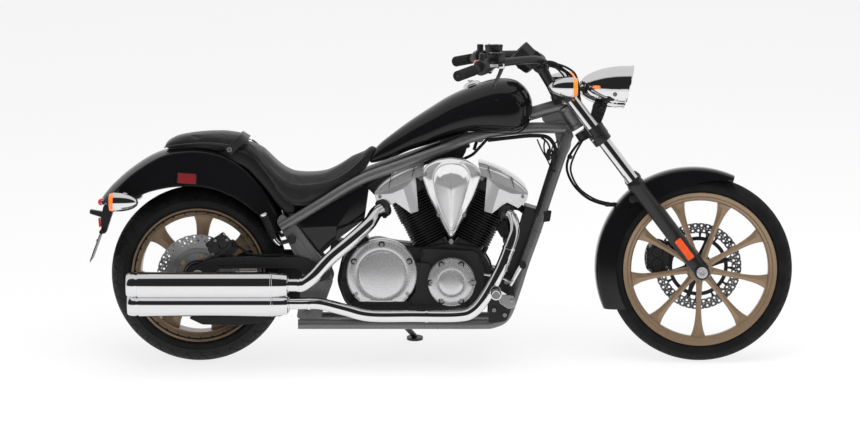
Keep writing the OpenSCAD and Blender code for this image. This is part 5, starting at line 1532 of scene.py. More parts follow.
def lamp_lens(skin, base, r, thick, way):
    """Domed lens on the lamp's open end."""
    s = np.linspace(0, 1, 9)
    profile = [(0, -1), (r - 1.5, -1), (r, 1)] + [(r * (1 - 0.1 * t**3), thick * t) for t in s[1:]]
    profile += [(0.8 * r, thick * 1.06), (0.4 * r, thick * 1.1), (0, thick * 1.12)]
    return skin.turned(profile, base, way, 48)


def build_headlight(looks):
    stations = [(1366, 2), (1368, 12), (1372, 20), (1385, 36), (1407, 50), (1443, 64), (1479, 73), (1504, 76),
                (1522, 76.8), (1541, 77), (1544, 76)]
    rows = spline(stations, 5)
    a = np.arange(96) * 2 * pi / 96

    def ring(x, r, share):
        z = r * np.sin(a)
        return np.stack([x + share * 0.231 * z, r * np.cos(a), LAMP_Z + z], -1)

    shares = np.clip((rows[:, 0] - 1460) / 82, 0, 1)
    rings = [ring(x, r, s) for (x, r), s in zip(rows, shares)]
    inner = [ring(x, r, 1) for x, r in ((1544.5, 74.5), (1542, 73.4), (1538, 72.6), (1534, 70), (1510, 64),
                                        (1484, 52), (1466, 36), (1458, 18), (1456, 8))]
    shell = Skin().grid(np.array(rings + inner), round_v=True).cap(rings[0]).cap(inner[-1])
    piece("headlight_shell", shell, "chrome", body="steering", replaces=("headlight",), crease=50)
    bezel = Skin()
    bezel.grid(np.array([ring(x, r, s) for x, r, s in ((1508, 76.2, 0.62), (1508, 77.6, 0.62),
                                                       (1511, 78, 0.66), (1511, 76.4, 0.66))]),
               round_u=True, round_v=True)
    bezel.grid(np.array([ring(x, r, 1) for x, r in ((1540, 76.5), (1540, 78.3), (1545, 78.8), (1548, 77),
                                                    (1547, 73.2), (1541, 73))]), round_u=True, round_v=True)
    piece("headlight_bezel", bezel, "chrome", body="steering")
    glass = Skin()
    g = [ring(1541.5 + 5 * (1 - (r / 73.0) ** 2), max(r, 0.01), 1) for r in (73.0, 66, 55, 42, 28, 14, 0)]
    b = [p - (2.4, 0, 0) for p in g[::-1]]
    glass.grid(np.array(g + b), round_u=True, round_v=True)
    piece("headlight_glass", glass, "glass", body="steering", replaces=("headlight_lens",))
    bulb = Skin().turned([(0, 0), (13, 0), (13, 14), (9, 20), (9, 44), (6, 50), (0, 52)],
                         (1456, 0, LAMP_Z), FORWARD, 32)
    bulb.turned([(0, 0), (15, 0), (16, 8), (12, 12), (0, 12.5)], (1490, 0, LAMP_Z), FORWARD, 32)
    piece("headlight_bulb", bulb, "zinc", body="steering", bevel=0.5)
    hold = Skin()
    hold.plate([(1420, 934), (1470, 926), (1454, 880), (1436, 838), (1412, 838), (1408, 880)], 8, -18, 18)
    hold.turned([(0, -24), (12, -24), (13, -20), (13, 20), (12, 24), (0, 24)], (1446, 0, 912), LEFT, 32)
    piece("headlight_mount", hold, "satin_black", body="steering", bevel=1.6)
    studs = Skin()
    for side in SIDES:
        studs.turned([(0, 0), (8, 0), (8, 4), (5.5, 5), (5, 2), (0, 2)], (1494, side * 72, 968),
                     (0, side, 0), 28)
    piece("headlight_adjusters", studs, "zinc", body="steering", bevel=0.4)
    spot = Skin()
    a = np.arange(28) * 2 * pi / 28
    for side in SIDES:
        rings = [np.stack([1428 + g * 15 * np.cos(a), side * y + 0 * a, 993 + g * 5 * np.sin(a)], -1)
                 for g, y in ((1, 50), (1, 61), (0.8, 63), (0.4, 64))]
        spot.loft(np.array(rings))
    piece("headlight_side_marks", spot, "amber", body="steering")
    shells, lenses, stalks = Skin(), Skin(), Skin()
    for side in SIDES:
        base = np.array((1338.0, side * 168.0, 1000.0))
        bullet(shells, base, 84, 36, (-1, 0, 0))
        shells.ring([(33, -1), (37, -1), (37.4, 3), (33, 3)], base, FORWARD, 48)
        lamp_lens(lenses, base + (2, 0, 0), 34.5, 16, (1, 0, 0))
        stalks.tube([(1322, side * 140, 990), (1318, side * 126, 978), fork_at(968, side * 112)], 9, 24, 6)
    piece("front_signal_shells", shells, "chrome", body="steering", replaces=("front_turn_signals",))
    piece("front_signal_lenses", lenses, "amber", body="steering")
    piece("front_signal_stalks", stalks, "chrome", body="steering")


BAR_SIDE = [(1226, 0, 1070), (1226, 30, 1070), (1226, 62, 1072), (1236, 92, 1086), (1206, 150, 1098),
            (1130, 220, 1096), (1066, 270, 1090), (1015, 310, 1080), (987, 353, 1072), (958, 397, 1065),
            (930, 440, 1057)]
GRIP_IN, GRIP_OUT = np.array((1015.0, 310, 1080)), np.array((930.0, 440, 1057))
GRIP = unit(GRIP_OUT - GRIP_IN)


def build_bars(looks):
    half = np.array(BAR_SIDE, float)
    path = np.vstack([mirrored(half[:0:-1]), half])
    piece("handlebar_tube", Skin().tube(path, 14, 28), "satin_black", body="steering",
          replaces=("handlebar",))
    risers = Skin()
    way = unit(BAR_CLAMP - BAR_FOOT)
    length = np.linalg.norm(BAR_CLAMP - BAR_FOOT) - 8
    for side in SIDES:
        foot = np.array((1290.0, side * 46, 954))
        risers.turned([(0, 0), (23, 0), (23, 8), (18.5, 14), (17.5, 60), (20, length - 20), (22, length),
                       (0, length)], foot, way, 36)
        risers.turned([(0, -17), (25, -17), (27, -14), (27, 14), (25, 17), (0, 17)],
                      (1226, side * 46, 1070), LEFT, 40)
    risers.plate([(1200, 1052), (1250, 1040), (1262, 1064), (1240, 1094), (1212, 1096)], 10, -40, 40)
    piece("handlebar_risers", risers, "satin_black", body="steering", bevel=2)
    sleeves, ends = Skin(), Skin()
    s = np.linspace(0, 104, 160)
    r = 17.6 + 1.4 * np.clip(1.5 * np.sin(s * 2 * pi / 8.6) + 0.6, 0, 1)
    r[:6], r[-6:] = 19, 19
    profile = np.vstack([[(0, 0)], np.stack([r, s], -1), [(17, 105.2), (8, 105.6), (7, 102), (0, 102)]])
    start = GRIP_OUT - 100 * GRIP
    for side in SIDES:
        sleeves.turned(profile, start * (1, side, 1), GRIP * (1, side, 1), 40)
        ends.turned([(0, 101.5), (6.5, 101.5), (6.5, 103.6), (0, 103.6)], start * (1, side, 1),
                    GRIP * (1, side, 1), 24)
    piece("grip_rubbers", sleeves, "grip", body="steering", replaces=("grips",))
    piece("grip_end_plugs", ends, "satin_black", body="steering")
    pods, bright, knobs, lids, blades = Skin(), Skin(), Skin(), Skin(), Skin()
    for side in SIDES:
        flip = np.array((1, side, 1))
        root = GRIP_IN * flip
        way = GRIP * flip
        pods.turned([(14, -44), (21, -44), (22, -40), (22, -24), (14, -24)], root, way, 36)
        pods.turned([(14, -14), (25, -14), (28, -10), (28, 12), (26, 18), (20, 21), (14, 21)], root, way, 40)
        box = softened([(-31, -18), (31, -18), (31, 18), (-31, 18)], 8)
        turn = about(np.stack([box[:, 0], box[:, 1], 0 * box[:, 0]], -1), np.zeros(3), side * 38, (0, 0, 1))
        centre = root + np.array((50, -side * 46, 28))
        pods.loft([centre + turn * 0.8 + (0, 0, -12), centre + turn * 0.95 + (0, 0, -6),
                   centre + turn + (0, 0, 14)])
        lids.loft([centre + turn * 1.03 + (0, 0, 14), centre + turn * 1.03 + (0, 0, 19),
                   centre + turn * 0.93 + (0, 0, 21)])
        for k in (-1, 1):
            knobs.bolt(centre + (k * 17, -side * k * 13, 20.5), UP, 3.6, 2.4, False)
        boss = root + np.array((1, -side * 4, 4))
        pods.turned([(4.25, 28), (4.25, 44), (11, 44), (12, 42.5), (12, 0), (0, 0), (0, 28)], boss, UP, 32)
        lever = np.array([(71, -34, 0), (66, -12, -14), (60, 12, -26), (48, 60, -46),
                          (38, 104, -60)]) * flip + root
        size = np.linspace(1, 0.72, len(spline(lever, 6)))[:, None, None]
        blades.rod(spline(lever, 6), circle(8.2, 20, 0.62) * size)
        blades.ball(lever[-1], 8, 20)
        bright.rod([root + flip * (70, -34, 6), root + flip * (30, -10, 4), root + flip * (6, 8, -2)],
                   circle(6.5, 18))
        bright.turned([(0, -9), (13, -9), (14, -6), (14, 6), (13, 9), (0, 9)],
                      root + flip * (66, -30, 2), UP, 28)
        bright.turned([(14, -6), (20.5, -6), (21.5, 0), (20.5, 6), (14, 6)], root - way * 34, way, 36)
        knobs.turned([(0, 0), (6, 0), (6, 4), (0, 5)], root + flip * (-14, -14, 20), unit((-0.4, 0, 1)), 20)
    piece("switch_housings", pods, "satin_black", body="steering", replaces=("hand_controls",), bevel=1.2)
    piece("reservoir_lids", lids, "deep_black_and_shade", body="steering", bevel=1)
    piece("hand_lever_blades", blades, "satin_black", body="steering")
    piece("hand_lever_perches", bright, "chrome", body="steering", bevel=0.8)
    piece("reservoir_screws", knobs, "zinc", body="steering", bevel=0.3)
    stop = Skin().turned([(0, 0), (7, 0), (7.5, 5), (6, 8), (0, 8.6)], GRIP_IN * (1, -1, 1) + (-20, 4, 16),
                         unit((-0.8, -0.3, 0.5)), 24)
    # the switch's glow is painted light
    piece("stop_switch", stop, "orange", body="steering")


def build_pod(looks):
    axis = np.array((-sin(pi / 4), 0.0, cos(pi / 4)))
    centre = np.array((1150.0, 0.0, 1120.0))
    case = Skin().turned([(0, -80), (30, -80), (40, -75), (44, -62), (47.4, -40), (47.6, -2), (46, 3),
                          (42, 4.5), (40.6, 3), (40, -3), (0, -3)], centre, axis, 8, pi / 8)
    case.ring([(34, -66), (48.6, -44), (49, -38), (34, -38)], centre, axis, 8, pi / 8)
    case.plate([(1180, 1110), (1216, 1122), (1250, 1086), (1246, 1050), (1190, 1058)], 8, -26, 26)
    piece("instrument_case", case, "satin_black", body="steering", replaces=("instrument_pod",),
          bevel=2.4, crease=25)
    dial = Skin().turned([(0, -2.8), (38, -2.8), (38, -1.6), (0, -1.6)], centre, axis, 64)
    piece("instrument_dial", dial, "dial", body="steering")
    ticks = Skin()
    side = np.array((axis[2], 0, -axis[0]))
    for k in range(25):
        a = radians(-120 + 10 * k)
        way = cos(a) * -side + sin(a) * np.array((0, 1.0, 0))
        start = centre + axis * -1.4
        inner = 30 if k % 4 == 0 else 33
        ticks.rod([start + way * inner, start + way * 36], circle(0.5, 6))
    needle = unit(cos(2.2) * -side + sin(2.2) * np.array((0, 1.0, 0)))
    ticks.rod([centre + axis * -0.9 - needle * 5, centre + axis * -0.9 + needle * 25], circle(0.7, 6))
    piece("instrument_ticks", ticks, "tick_white", body="steering")
    cover = Skin().turned([(0, -0.4), (40, -0.4), (39.5, 0.8), (22, 2.2), (0, 2.8)], centre, axis, 64)
    piece("instrument_glass", cover, "glass", body="steering")
    lines = Skin()
    for side_, drop in ((-1, 0), (1, -26)):
        flip, down = (1, side_, 1), (0, 0, drop)
        lines.tube(np.array([(1074, 254, 1102), (1100, 228, 1106), (1140, 196, 1105), (1190, 170, 1097),
                             (1238, 146, 1090), (1288, 118, 1079), (1320, 92, 1066), (1348, 64, 1045),
                             (1360, 52, 1018), (1366, 46, 985), (1368, 44, 962)]) * flip + down, 4)
        lines.tube(np.array([(1060, 262, 1086), (1094, 214, 1086), (1150, 180, 1090), (1240, 140, 1092),
                             (1286, 100, 1080), (1322, 72, 1040), (1340, 56, 985),
                             (1334, 36, 930)]) * flip + down, 3.2)
    lines.tube([(1068, -250, 1096), (1130, -196, 1100), (1200, -150, 1096), (1262, -110, 1080),
                (1322, -72, 1050), (1358, -56, 1000), (1378, -48, 900), (1390, -42, 828)], 3.6)
    lines.tube([(1372, 44, 790), (1336, 36, 740), (1326, 20, 690), (1352, 0, 634), (1404, -14, 588),
                (1470, -20, 566), (1508, -20, 566)], 4.6)
    lines.tube([(1380, -30, 800), (1350, -26, 744), (1338, -24, 690), (1366, -26, 630), (1420, -28, 590),
                (1474, -30, 574), (1500, -30, 574)], 3.6)
    lines.tube([(1500, -24, 570), (1530, -10, 575), (1560, 40, 560), (1585, 74, 520), (1612, 86, 460),
                (1640, 90, 430)], 4)
    piece("front_cables_and_hoses", lines, "hose", body="steering", replaces=("control_cables",))
    clips = Skin()
    for spot, way in (((1470, -22, 569), (1, 0, 0)), ((1336, 10, 738), (0.4, 0, 0.9)),
                      ((1238, 146, 1064), (1, -0.5, -0.2)), ((1238, -146, 1090), (1, 0.5, -0.2))):
        clips.turned([(0, -7), (8.5, -7), (9, -5), (9, 5), (8.5, 7), (0, 7)], spot, unit(way), 24)
    clips.block((1440, -40, 800), (26, 30, 26), 20)
    piece("cable_clips", clips, "satin_black", body="steering", bevel=0.8)


# ---- tail, rear brake, pegs and fittings ----


def build_tail(looks):
    shells, lenses, stalks = Skin(), Skin(), Skin()
    for side in SIDES:
        base = np.array((-296.0, side * 152.0, 588.0))
        bullet(shells, base, 86, 34, (1, 0, 0))
        shells.ring([(31, -1), (35, -1), (35.4, 3), (31, 3)], base, BACK, 48)
        lamp_lens(lenses, base - (2, 0, 0), 32.5, 15, (-1, 0, 0))
        stalks.tube([(-262, side * 96, 604), (-264, side * 112, 600), (-262, side * 134, 594)], 10.5, 24, 5)
        stalks.turned([(0, -3), (16, -3), (17, 2), (13, 6), (0, 7)], (-262, side * 112, 602),
                      (0, side, 0), 28)
    piece("rear_signal_shells", shells, "chrome", replaces=("rear_turn_signals",))
    piece("rear_signal_lenses", lenses, "amber")
    piece("rear_signal_stalks", stalks, "chrome")
    lamp = Skin()
    end = [(12 * cos(a), 34 + 11 * sin(a)) for a in np.linspace(0, pi / 2, 10)]
    profile = [(r, -y) for r, y in end[::-1]] + [(12, -20), (12, 0), (12, 20)] + end
    lamp.turned(profile, (-352, 0, 578), LEFT, 36)
    piece("tail_light_lens", lamp, "red", replaces=("tail_light",))
    trim = Skin().turned([(0, -46), (8, -46), (9.5, -44), (9.5, 44), (8, 46), (0, 46)],
                         (-343, 0, 577), LEFT, 28)
    piece("tail_light_backing", trim, "chrome", bevel=0.8)
    for side, hand in ((-1, "right"), (1, "left")):
        cup, mark = Skin(), Skin()
        o = np.array([(-75, 653), (-3, 648), (-1, 688), (-73, 693)], float)
        cup.plate(o, 6, side * 118, side * 123.4)
        mark.plate(inset(o, 5), 4, side * 120, side * 125)
        piece(hand + "_fender_reflector_cup", cup, "deep_black_and_shade", bevel=1)
        # the reflector's glow is painted light
        piece(hand + "_fender_reflector", mark, "dim_red", bevel=0.8)
    hold = Skin()
    hold.plate([(-344, 566), (-300, 572), (-318, 520), (-336, 464), (-352, 462), (-354, 520)], 8, -30, 30)
    hold.plate([(-394.8, 549), (-394.8, 534), (-350, 520), (-345, 540)], 5, -15, 15)
    hold.rod([(-350, -60, 472), (-350, 60, 472)], circle(8, 24))
    piece("plate_bracket", hold, "satin_black", replaces=("plate_holder",), bevel=2)
    tilt = radians(20.3)
    down, out = np.array((-sin(tilt), 0, -cos(tilt))), np.array((-cos(tilt), 0, sin(tilt)))
    sheet = softened([(-90, 0), (90, 0), (90, 112), (-90, 112)], 8, 4)
    top = np.array((-350.0, 0, 470))
    face = top + sheet[:, 1:] * down + sheet[:, :1] * np.array((0, 1.0, 0))
    plate = Skin().loft([face, face + out * 2.6])
    small = softened([(-84, 6), (84, 6), (84, 106), (-84, 106)], 6, 4)
    ridge = top + small[:, 1:] * down + small[:, :1] * np.array((0, 1.0, 0))
    plate.loft([ridge + out * 2.6, ridge + out * 3.6])
    piece("blank_number_plate", plate, "satin_black", bevel=0.5)
    screws = Skin()
    for side in SIDES:
        screws.bolt(np.array((-350.0, side * 73, 470)) + down * 30 + out * 4, out, 5, 3)
    piece("plate_screws", screws, "zinc", bevel=0.3)
    strip = Skin().plate([(-364, 518), (-357, 520), (-354, 488), (-361, 486)], 2, -24, 24)
    # the reflector's glow is painted light
    piece("plate_reflector", strip, "red", bevel=0.6)
    window = softened([(-386, 533), (-364, 526), (-363, 531), (-385, 539)], 2)
    pane = Skin().slab(window, -12, 12)
    for k in range(5):
        pane.rod([(-383 + 4 * k, -11, 532 - 1.3 * k), (-383 + 4 * k, 11, 532 - 1.3 * k)], circle(1.1, 8))
    piece("plate_lamp_window", pane, "glass", bevel=0.5)


def build_rear_brake(looks):
    grab = Skin()
    o = np.array([(-40, -26), (34, -30), (46, -8), (42, 22), (20, 36), (-24, 36), (-44, 14)], float)
    turn = radians(-35)

    def laid(points):
        p = np.asarray(points, float)
        return np.stack([78 + p[:, 0] * cos(turn) + p[:, 1] * sin(turn),
                         427 - p[:, 0] * sin(turn) + p[:, 1] * cos(turn)], -1)

    whole = laid(softened(o, 12))
    grab.slab(whole, -129, -104).slab(inset(whole, 5), -86, -68)
    grab.slab(laid(softened([(-40, 14), (38, 14), (38, 34), (-40, 34)], 6)), -112, -80)
    for u in (-19, 17):
        x, z = laid([(u, 2)])[0]
        grab.turned([(0, -128), (17, -128), (18, -131), (15, -134), (0, -134.5)], (x, 0, z), LEFT, 32)
    grab.plate([(60, 392), (120, 392), (150, 420), (128, 452), (96, 440)], 8, -112, -100)
    piece("rear_caliper_body", grab, "satin_black", replaces=("rear_caliper",), bevel=2)
    pins = Skin()
    for u, v in ((-34, -8), (36, 4), (0, 26)):
        x, z = laid([(u, v)])[0]
        pins.bolt((x, -130, z), RIGHT, 5.5, 4)
    pins.turned([(0, 0), (3, 0), (3, 8), (4.4, 8), (4.4, 13), (0, 13)], (92, -122, 462),
                unit((0.3, -0.2, 1)), 16)
    piece("rear_caliper_pins", pins, "zinc", bevel=0.4)
    lines = Skin().tube([(120, -118, 432), (144, -124, 428), (184, -127, 402), (226, -128, 396),
                         (300, -130, 396), (362, -130, 388), (400, -118, 376)], 4.5)
    piece("rear_brake_hose", lines, "hose")
    axle = Skin()
    axle.rod([(0, -142, REAR_Z), (0, 120, REAR_Z)], circle(12, 28))
    axle.turned([(0, 140), (24, 140), (24, 143), (21, 144), (0, 144)], (0, 0, REAR_Z), RIGHT, 40)
    axle.turned([(0, 143), (19, 143), (19, 156), (16, 158), (9, 158), (9, 154), (0, 154)],
                (0, 0, REAR_Z), RIGHT, 6)
    axle.plate([(-44, 308), (-20, 304), (-20, 338), (-44, 334)], 4, -150, -140)
    piece("rear_axle_nut", axle, "silver", replaces=("rear_axle",), bevel=0.8)
    drive = Skin().turned([(0, 88), (60, 90), (74, 98), (76, 110), (76, 140), (72, 158), (58, 172), (40, 178),
                           (36, 184), (20, 186), (0, 186)], (0, 0, REAR_Z), LEFT, 72)
    drive.rod([(60, 172, 322), (110, 165, 324), (200, 152, 326), (452, 130, 330)], circle(27, 40))
    for k in range(8):
        a = radians(45 * k + 10)
        drive.bolt((66 * cos(a), 166, REAR_Z + 66 * sin(a)), LEFT, 7, 6)
    for k in range(6):
        drive.ring([(26, -2), (30, 0), (26, 2)], (96 + 9 * k, 167 - 1.4 * k, 323.5), (1, -0.13, 0), 36)
    piece("final_drive_case", drive, "silver", replaces=("final_drive",), bevel=1, crease=40)


def build_pegs(looks):
    steel, sleeves, dark, bolts = Skin(), Skin(), Skin(), Skin()
    x0 = 1065.0
    for side in SIDES:
        flip = np.array((1, side, 1))
        bracket = softened([(x0 - 25, 150), (x0 + 42, 158), (x0 + 74, 250), (x0 + 50, 326), (x0 + 8, 330),
                            (x0 - 21, 250)], 16)
        dark.slab(bracket, side * 128, side * 139)
        steel.plate([(x0 + 6, 268), (x0 + 66, 262), (x0 + 72, 226), (x0 + 48, 214), (x0 + 14, 236)], 10,
                    side * 228, side * 240)
        steel.rod(np.array([(x0 + 43, 132, 252), (x0 + 30, 180, 262), (x0 + 8, 236, 278)]) * flip,
                  circle(9, 20))
        steel.turned([(0, 228), (17, 228), (19, 231), (19, 240), (16, 243), (0, 243)], (x0, 0, 279),
                     (0, side, 0), 40)
        sleeves.ribbed(242, 344, 15.6, lambda s: 2.2 * (np.sin(s * 2 * pi / 11) > -0.2), (x0, 0, 279),
                       (0, side, 0), 110, 32)
        steel.turned([(0, 343), (18.5, 343), (20, 345), (20, 350), (17, 352), (13, 352), (12, 350.2),
                      (0, 350.2)], (x0, 0, 279), (0, side, 0), 48)
        lever = spline([(x0 + 53, 150, 286), (x0 + 56, 186, 300), (x0 + 74, 208, 336), (x0 + 94, 232, 374)],
                       6) * flip
        steel.rod(lever, circle(7, 18))
        sleeves.ribbed(226, 298, 10.5, lambda s: 1.4 * (np.sin(s * 2 * pi / 9) > 0), (x0 + 96, 0, 376),
                       (0, side, 0), 80, 28)
        steel.rod(spline([(x0 + 58, 196, 302), (x0 + 20, 176, 320), (x0 - 40, 160, 330)], 6) * flip,
                  circle(4, 14))
        for x, z in ((x0 - 4, 200), (x0 + 40, 300), (x0 + 10, 306), (x0 + 34, 182)):
            bolts.bolt((x, side * 140, z), (0, side, 0), 8, 7)
        bolts.turned([(0, 0), (6, 0), (6, 5), (0, 6)], (x0 + 58, side * 241, 246), (0, side, 0), 20)
    piece("forward_control_brackets", dark, "satin_black", replaces=("forward_controls",), bevel=2)
    piece("forward_control_levers", steel, "chrome", bevel=0.8)
    piece("footpeg_rubbers", sleeves, "grip", bevel=0.5)
    piece("forward_control_bolts", bolts, "zinc", bevel=0.5)
    arms, sleeves, hinge = Skin(), Skin(), Skin()
    for side in SIDES:
        flip = np.array((1, side, 1))
        hinge.turned([(0, 116), (14, 116), (15, 120), (15, 158), (12, 161), (0, 161)], (338, 0, 452),
                     (0, side, 0), 32)
        hinge.tube(np.array([(338, 150, 452), (312, 152, 446), (292, 150, 440)]) * flip, 8, 20, 6)
        arms.tube(np.array([(296, 151, 436), (284, 151, 446), (272, 151, 464)]) * flip, 9.5, 20, 6)
        way = unit(np.array((-40.0, 10 * side, 96)))
        base = np.array((276, 150, 452.0)) * flip
        arms.turned([(0, 96), (13.5, 96), (15, 99), (15, 104), (12, 107), (0, 108)], base, way, 36)
        sleeves.ribbed(6, 97, 12, lambda s: 2.0 * (np.sin(s * 2 * pi / 9.5) > -0.3), base, way, 100, 32)
    piece("passenger_peg_arms", arms, "chrome", replaces=("passenger_pegs",), bevel=0.8)
    piece("passenger_peg_rubbers", sleeves, "grip", bevel=0.4)
    piece("passenger_peg_hangers", hinge, "satin_black", bevel=0.8)


def build_fittings(looks):
    core = softened([(1222, 552), (1176, 566), (1104, 300), (1150, 286)], 6)
    tanks = Skin()
    for y in (-70, 58):
        tanks.slab(core, y, y + 12)
    tanks.plate([(1225, 552), (1173, 568), (1165, 538), (1218, 522)], 6, -72, 72)
    tanks.plate([(1158, 318), (1106, 332), (1101, 298), (1152, 282)], 6, -72, 72)
    piece("radiator_tanks", tanks, "satin_black", replaces=("radiator",), bevel=2)
    fins = Skin()
    top, low = np.array((1196.0, 0, 538)), np.array((1130.0, 0, 318))
    for k in range(40):
        fins.block(top + (low - top) * (k + 0.5) / 40, (34, 118, 1.1), 16)
    for k in range(9):
        y = -56 + 14 * k
        fins.rod([top + (0, y, 0), low + (0, y, 0)], np.array([(-14, -1.2), (14, -1.2), (14, 1.2),
            (-14, 1.2)]), up=LEFT)
    piece("radiator_core", fins, "fin_black")
    hoses = Skin()
    runs = (
        (13, (1180, -40, 540), (1150, -30, 560), (1110, -10, 556), (1080, 10, 530), (1060, 20, 500)),
        (13, (1130, 40, 320), (1090, 50, 318), (1060, 40, 300), (1030, 30, 290)),
        (5.5, (950, -70, 736), (985, -78, 754), (1012, -80, 782), (1042, -72, 812), (1070, -60, 822)),
        (6, (990, -60, 770), (1000, -40, 800), (1010, -20, 826)),
        (8, (690, -90, 600), (660, -80, 560), (610, -60, 520), (590, -40, 470)),
        (5, (1080, -60, 560), (1120, -76, 520), (1140, -84, 470), (1120, -80, 420)),
    )
    for radius, *points in runs:
        hoses.tube(points, radius, 20)
    piece("coolant_and_fuel_hoses", hoses, "hose")
    bits = Skin()
    bits.plate([(1236, 548), (1268, 552), (1262, 514), (1232, 510)], 5, -92, -66)
    bits.plate([(1060, 500), (1110, 520), (1130, 480), (1090, 450)], 8, -70, -20)
    bits.rod([(1120, -40, 440), (1120, 40, 440)], circle(26, 24))
    bits.plate([(720, 712), (800, 740), (960, 800), (980, 780), (900, 752), (760, 690)], 12, -70, 70)
    bits.plate([(600, 640), (690, 690), (700, 640), (640, 600)], 10, -80, 80)
    bits.plate([(872, 772), (900, 796), (966, 800), (962, 764), (938, 724), (872, 730)], 16, -72, 72)
    piece("coils_and_boxes", bits, "deep_black_and_shade", bevel=3)
    loom = Skin().tube([(1040, -84, 805), (1120, -67, 813), (1200, -53, 819), (1256, -58, 812),
                        (1282, -68, 770), (1272, -67, 730), (1243, -80, 640), (1212, -92, 540)], 7, 20)
    loom.tube([(1232, -60, 812), (1252, -74, 796), (1262, -78, 770), (1258, -76, 740)], 3.4)
    loom.tube([(1244, -62, 806), (1240, -76, 780), (1246, -82, 752), (1262, -80, 736)], 3)
    loom.tube([(1216, -58, 806), (1232, -74, 770), (1250, -80, 738), (1270, -78, 700), (1290, -60, 690)], 2.6)
    loom.tube([(1290, -40, 800), (1270, -60, 776), (1272, -74, 744), (1268, -78, 712)], 2.6)
    piece("wiring_harness", loom, "hose", replaces=("wiring_loom",))
    plugs = Skin()
    for x, y, z, a in ((1256, -80, 758, 20), (1272, -82, 742, -12), (1280, -72, 764, 30)):
        plugs.block((x, y, z), (16, 14, 30), a).block((x + 2, y, z - 20), (11, 10, 12), a)
    p = spline(RAIL, 8)
    for k in (4, 9, 14):
        spot = p[k]
        plugs.turned([(0, -5), (19.4, -5), (19.8, -4), (19.8, 4), (19.4, 5), (0, 5)], spot,
                     unit(p[k + 1] - spot), 28)
    piece("harness_connectors", plugs, "deep_black_and_shade", bevel=1)
    box = Skin().plate([(352, 505), (380, 462), (440, 440), (560, 560), (600, 640), (560, 640), (430, 560)],
                       14, -112, 112)
    box.plate([(330, 560), (420, 600), (560, 640), (700, 700), (700, 670), (440, 540), (340, 530)], 14, -60,
              60)
    piece("battery_case", box, "deep_black_and_shade", replaces=("battery_box",), bevel=4)
    dressed("satin_black", "side_stand")
    dressed("gunmetal", "stand_bracket")
    spring = Skin()
    a = np.linspace(0, 24 * 2 * pi, 480)
    start, end = np.array((716.0, 176, 118)), np.array((690.0, 124, 150))
    s = np.linspace(0, 1, 480)[:, None]
    side = unit(np.cross(end - start, (1, 0, 0)))
    other = unit(np.cross(end - start, side))
    coil = start + (end - start) * s + 6 * (np.cos(a)[:, None] * side + np.sin(a)[:, None] * other)
    spring.rod(coil, circle(1.1, 6))
    piece("side_stand_spring", spring, "zinc")


# ---- studio ----


def studio_sky(strength):
    """World: plain grey-white for diffuse light, white for the camera, and for reflections a white studio
    whose near wall is black from the floor to 70 degrees up."""
    world = bpy.data.worlds.new("Soft studio")
    bpy.context.scene.world = world
    world.use_nodes = True
    tree = world.node_tree
    tree.nodes.clear()

    def node(kind, settings=None, inputs=None):
        made = tree.nodes.new("ShaderNode" + kind)
        for key, value in (settings or {}).items():
            setattr(made, key, value)
        for key, value in (inputs or {}).items():
            if isinstance(value, bpy.types.NodeSocket):
                tree.links.new(value, made.inputs[key])
            else:
                made.inputs[key].default_value = value
        return made

    way = node("TexCoord").outputs["Generated"]
    split = node("SeparateXYZ", inputs={0: way})
    up, back = split.outputs["Z"], split.outputs["Y"]

    def smooth(value, low, high):
        made = node("MapRange", {"interpolation_type": "SMOOTHSTEP"}, {0: value, 1: low, 2: high})
        return made.outputs[0]

    overhead = smooth(up, 0.0, 0.07)
    near_side = node("Math", {"operation": "SUBTRACT"}, {0: 1.0, 1: smooth(back, -0.36, -0.2)}).outputs[0]
    dark = node("Math", {"operation": "MULTIPLY"}, {0: overhead, 1: near_side}).outputs[0]
    shade = node("MapRange", {}, {0: dark, 1: 0.0, 2: 1.0, 3: 0.95, 4: 0.03}).outputs[0]
    paths = node("LightPath").outputs
    shiny = node("Math", {"operation": "MAXIMUM"}, {0: paths["Is Glossy Ray"],
                                                    1: paths["Is Transmission Ray"]}).outputs[0]
    plain = node("Mix", {}, {0: shiny, 2: strength, 3: shade}).outputs[0]
    level = node("Mix", {}, {0: paths["Is Camera Ray"], 2: plain, 3: 1.0}).outputs[0]
    light = node("Background", inputs={"Strength": level})
    end = node("OutputWorld")
    tree.links.new(light.outputs[0], end.inputs[0])


def floor_finish(whiteness):
    """Pale floor: its lit colour, with plain white added to what the camera and mirrors see of it."""
    f = Finish("Pale studio floor", (0.96, 0.96, 0.96), 0.9, Specular_IOR_Level=0.1)
    f.set("Base Color", f.mix(f.noise(3.0, 2.0), (0.955, 0.955, 0.955), (0.965, 0.965, 0.965)))
    glow = f.tree.nodes.new("ShaderNodeEmission")
    paths = f.tree.nodes.new("ShaderNodeLightPath")
    shiny = Wire(f, paths.outputs["Is Glossy Ray"]) + Wire(f, paths.outputs["Is Transmission Ray"])
    seen = (Wire(f, paths.outputs["Is Camera Ray"]) + shiny) * whiteness
    mix = f.tree.nodes.new("ShaderNodeMixShader")
    end = f.tree.nodes["Material Output"]
    f.tree.links.new(seen.socket, mix.inputs[0])
    f.tree.links.new(f.shader.outputs[0], mix.inputs[1])
    f.tree.links.new(glow.outputs[0], mix.inputs[2])
    f.tree.links.new(mix.outputs[0], end.inputs[0])
    return f.material


def soft_lamp(name, place, aim, size, power):
    """Rectangular lamp at a place, aimed at a point, that mirrors do not see."""
    data = bpy.data.lights.new(name, "AREA")
    data.shape, data.size, data.size_y, data.energy = "RECTANGLE", size[0], size[1], power
    lamp = bpy.data.objects.new(name, data)
    lamp.location = place
    lamp.rotation_euler = (Vector(aim) - Vector(place)).to_track_quat("-Z", "Y").to_euler()
    lamp.visible_glossy = False
    lamp.visible_camera = False
    bpy.context.scene.collection.objects.link(lamp)


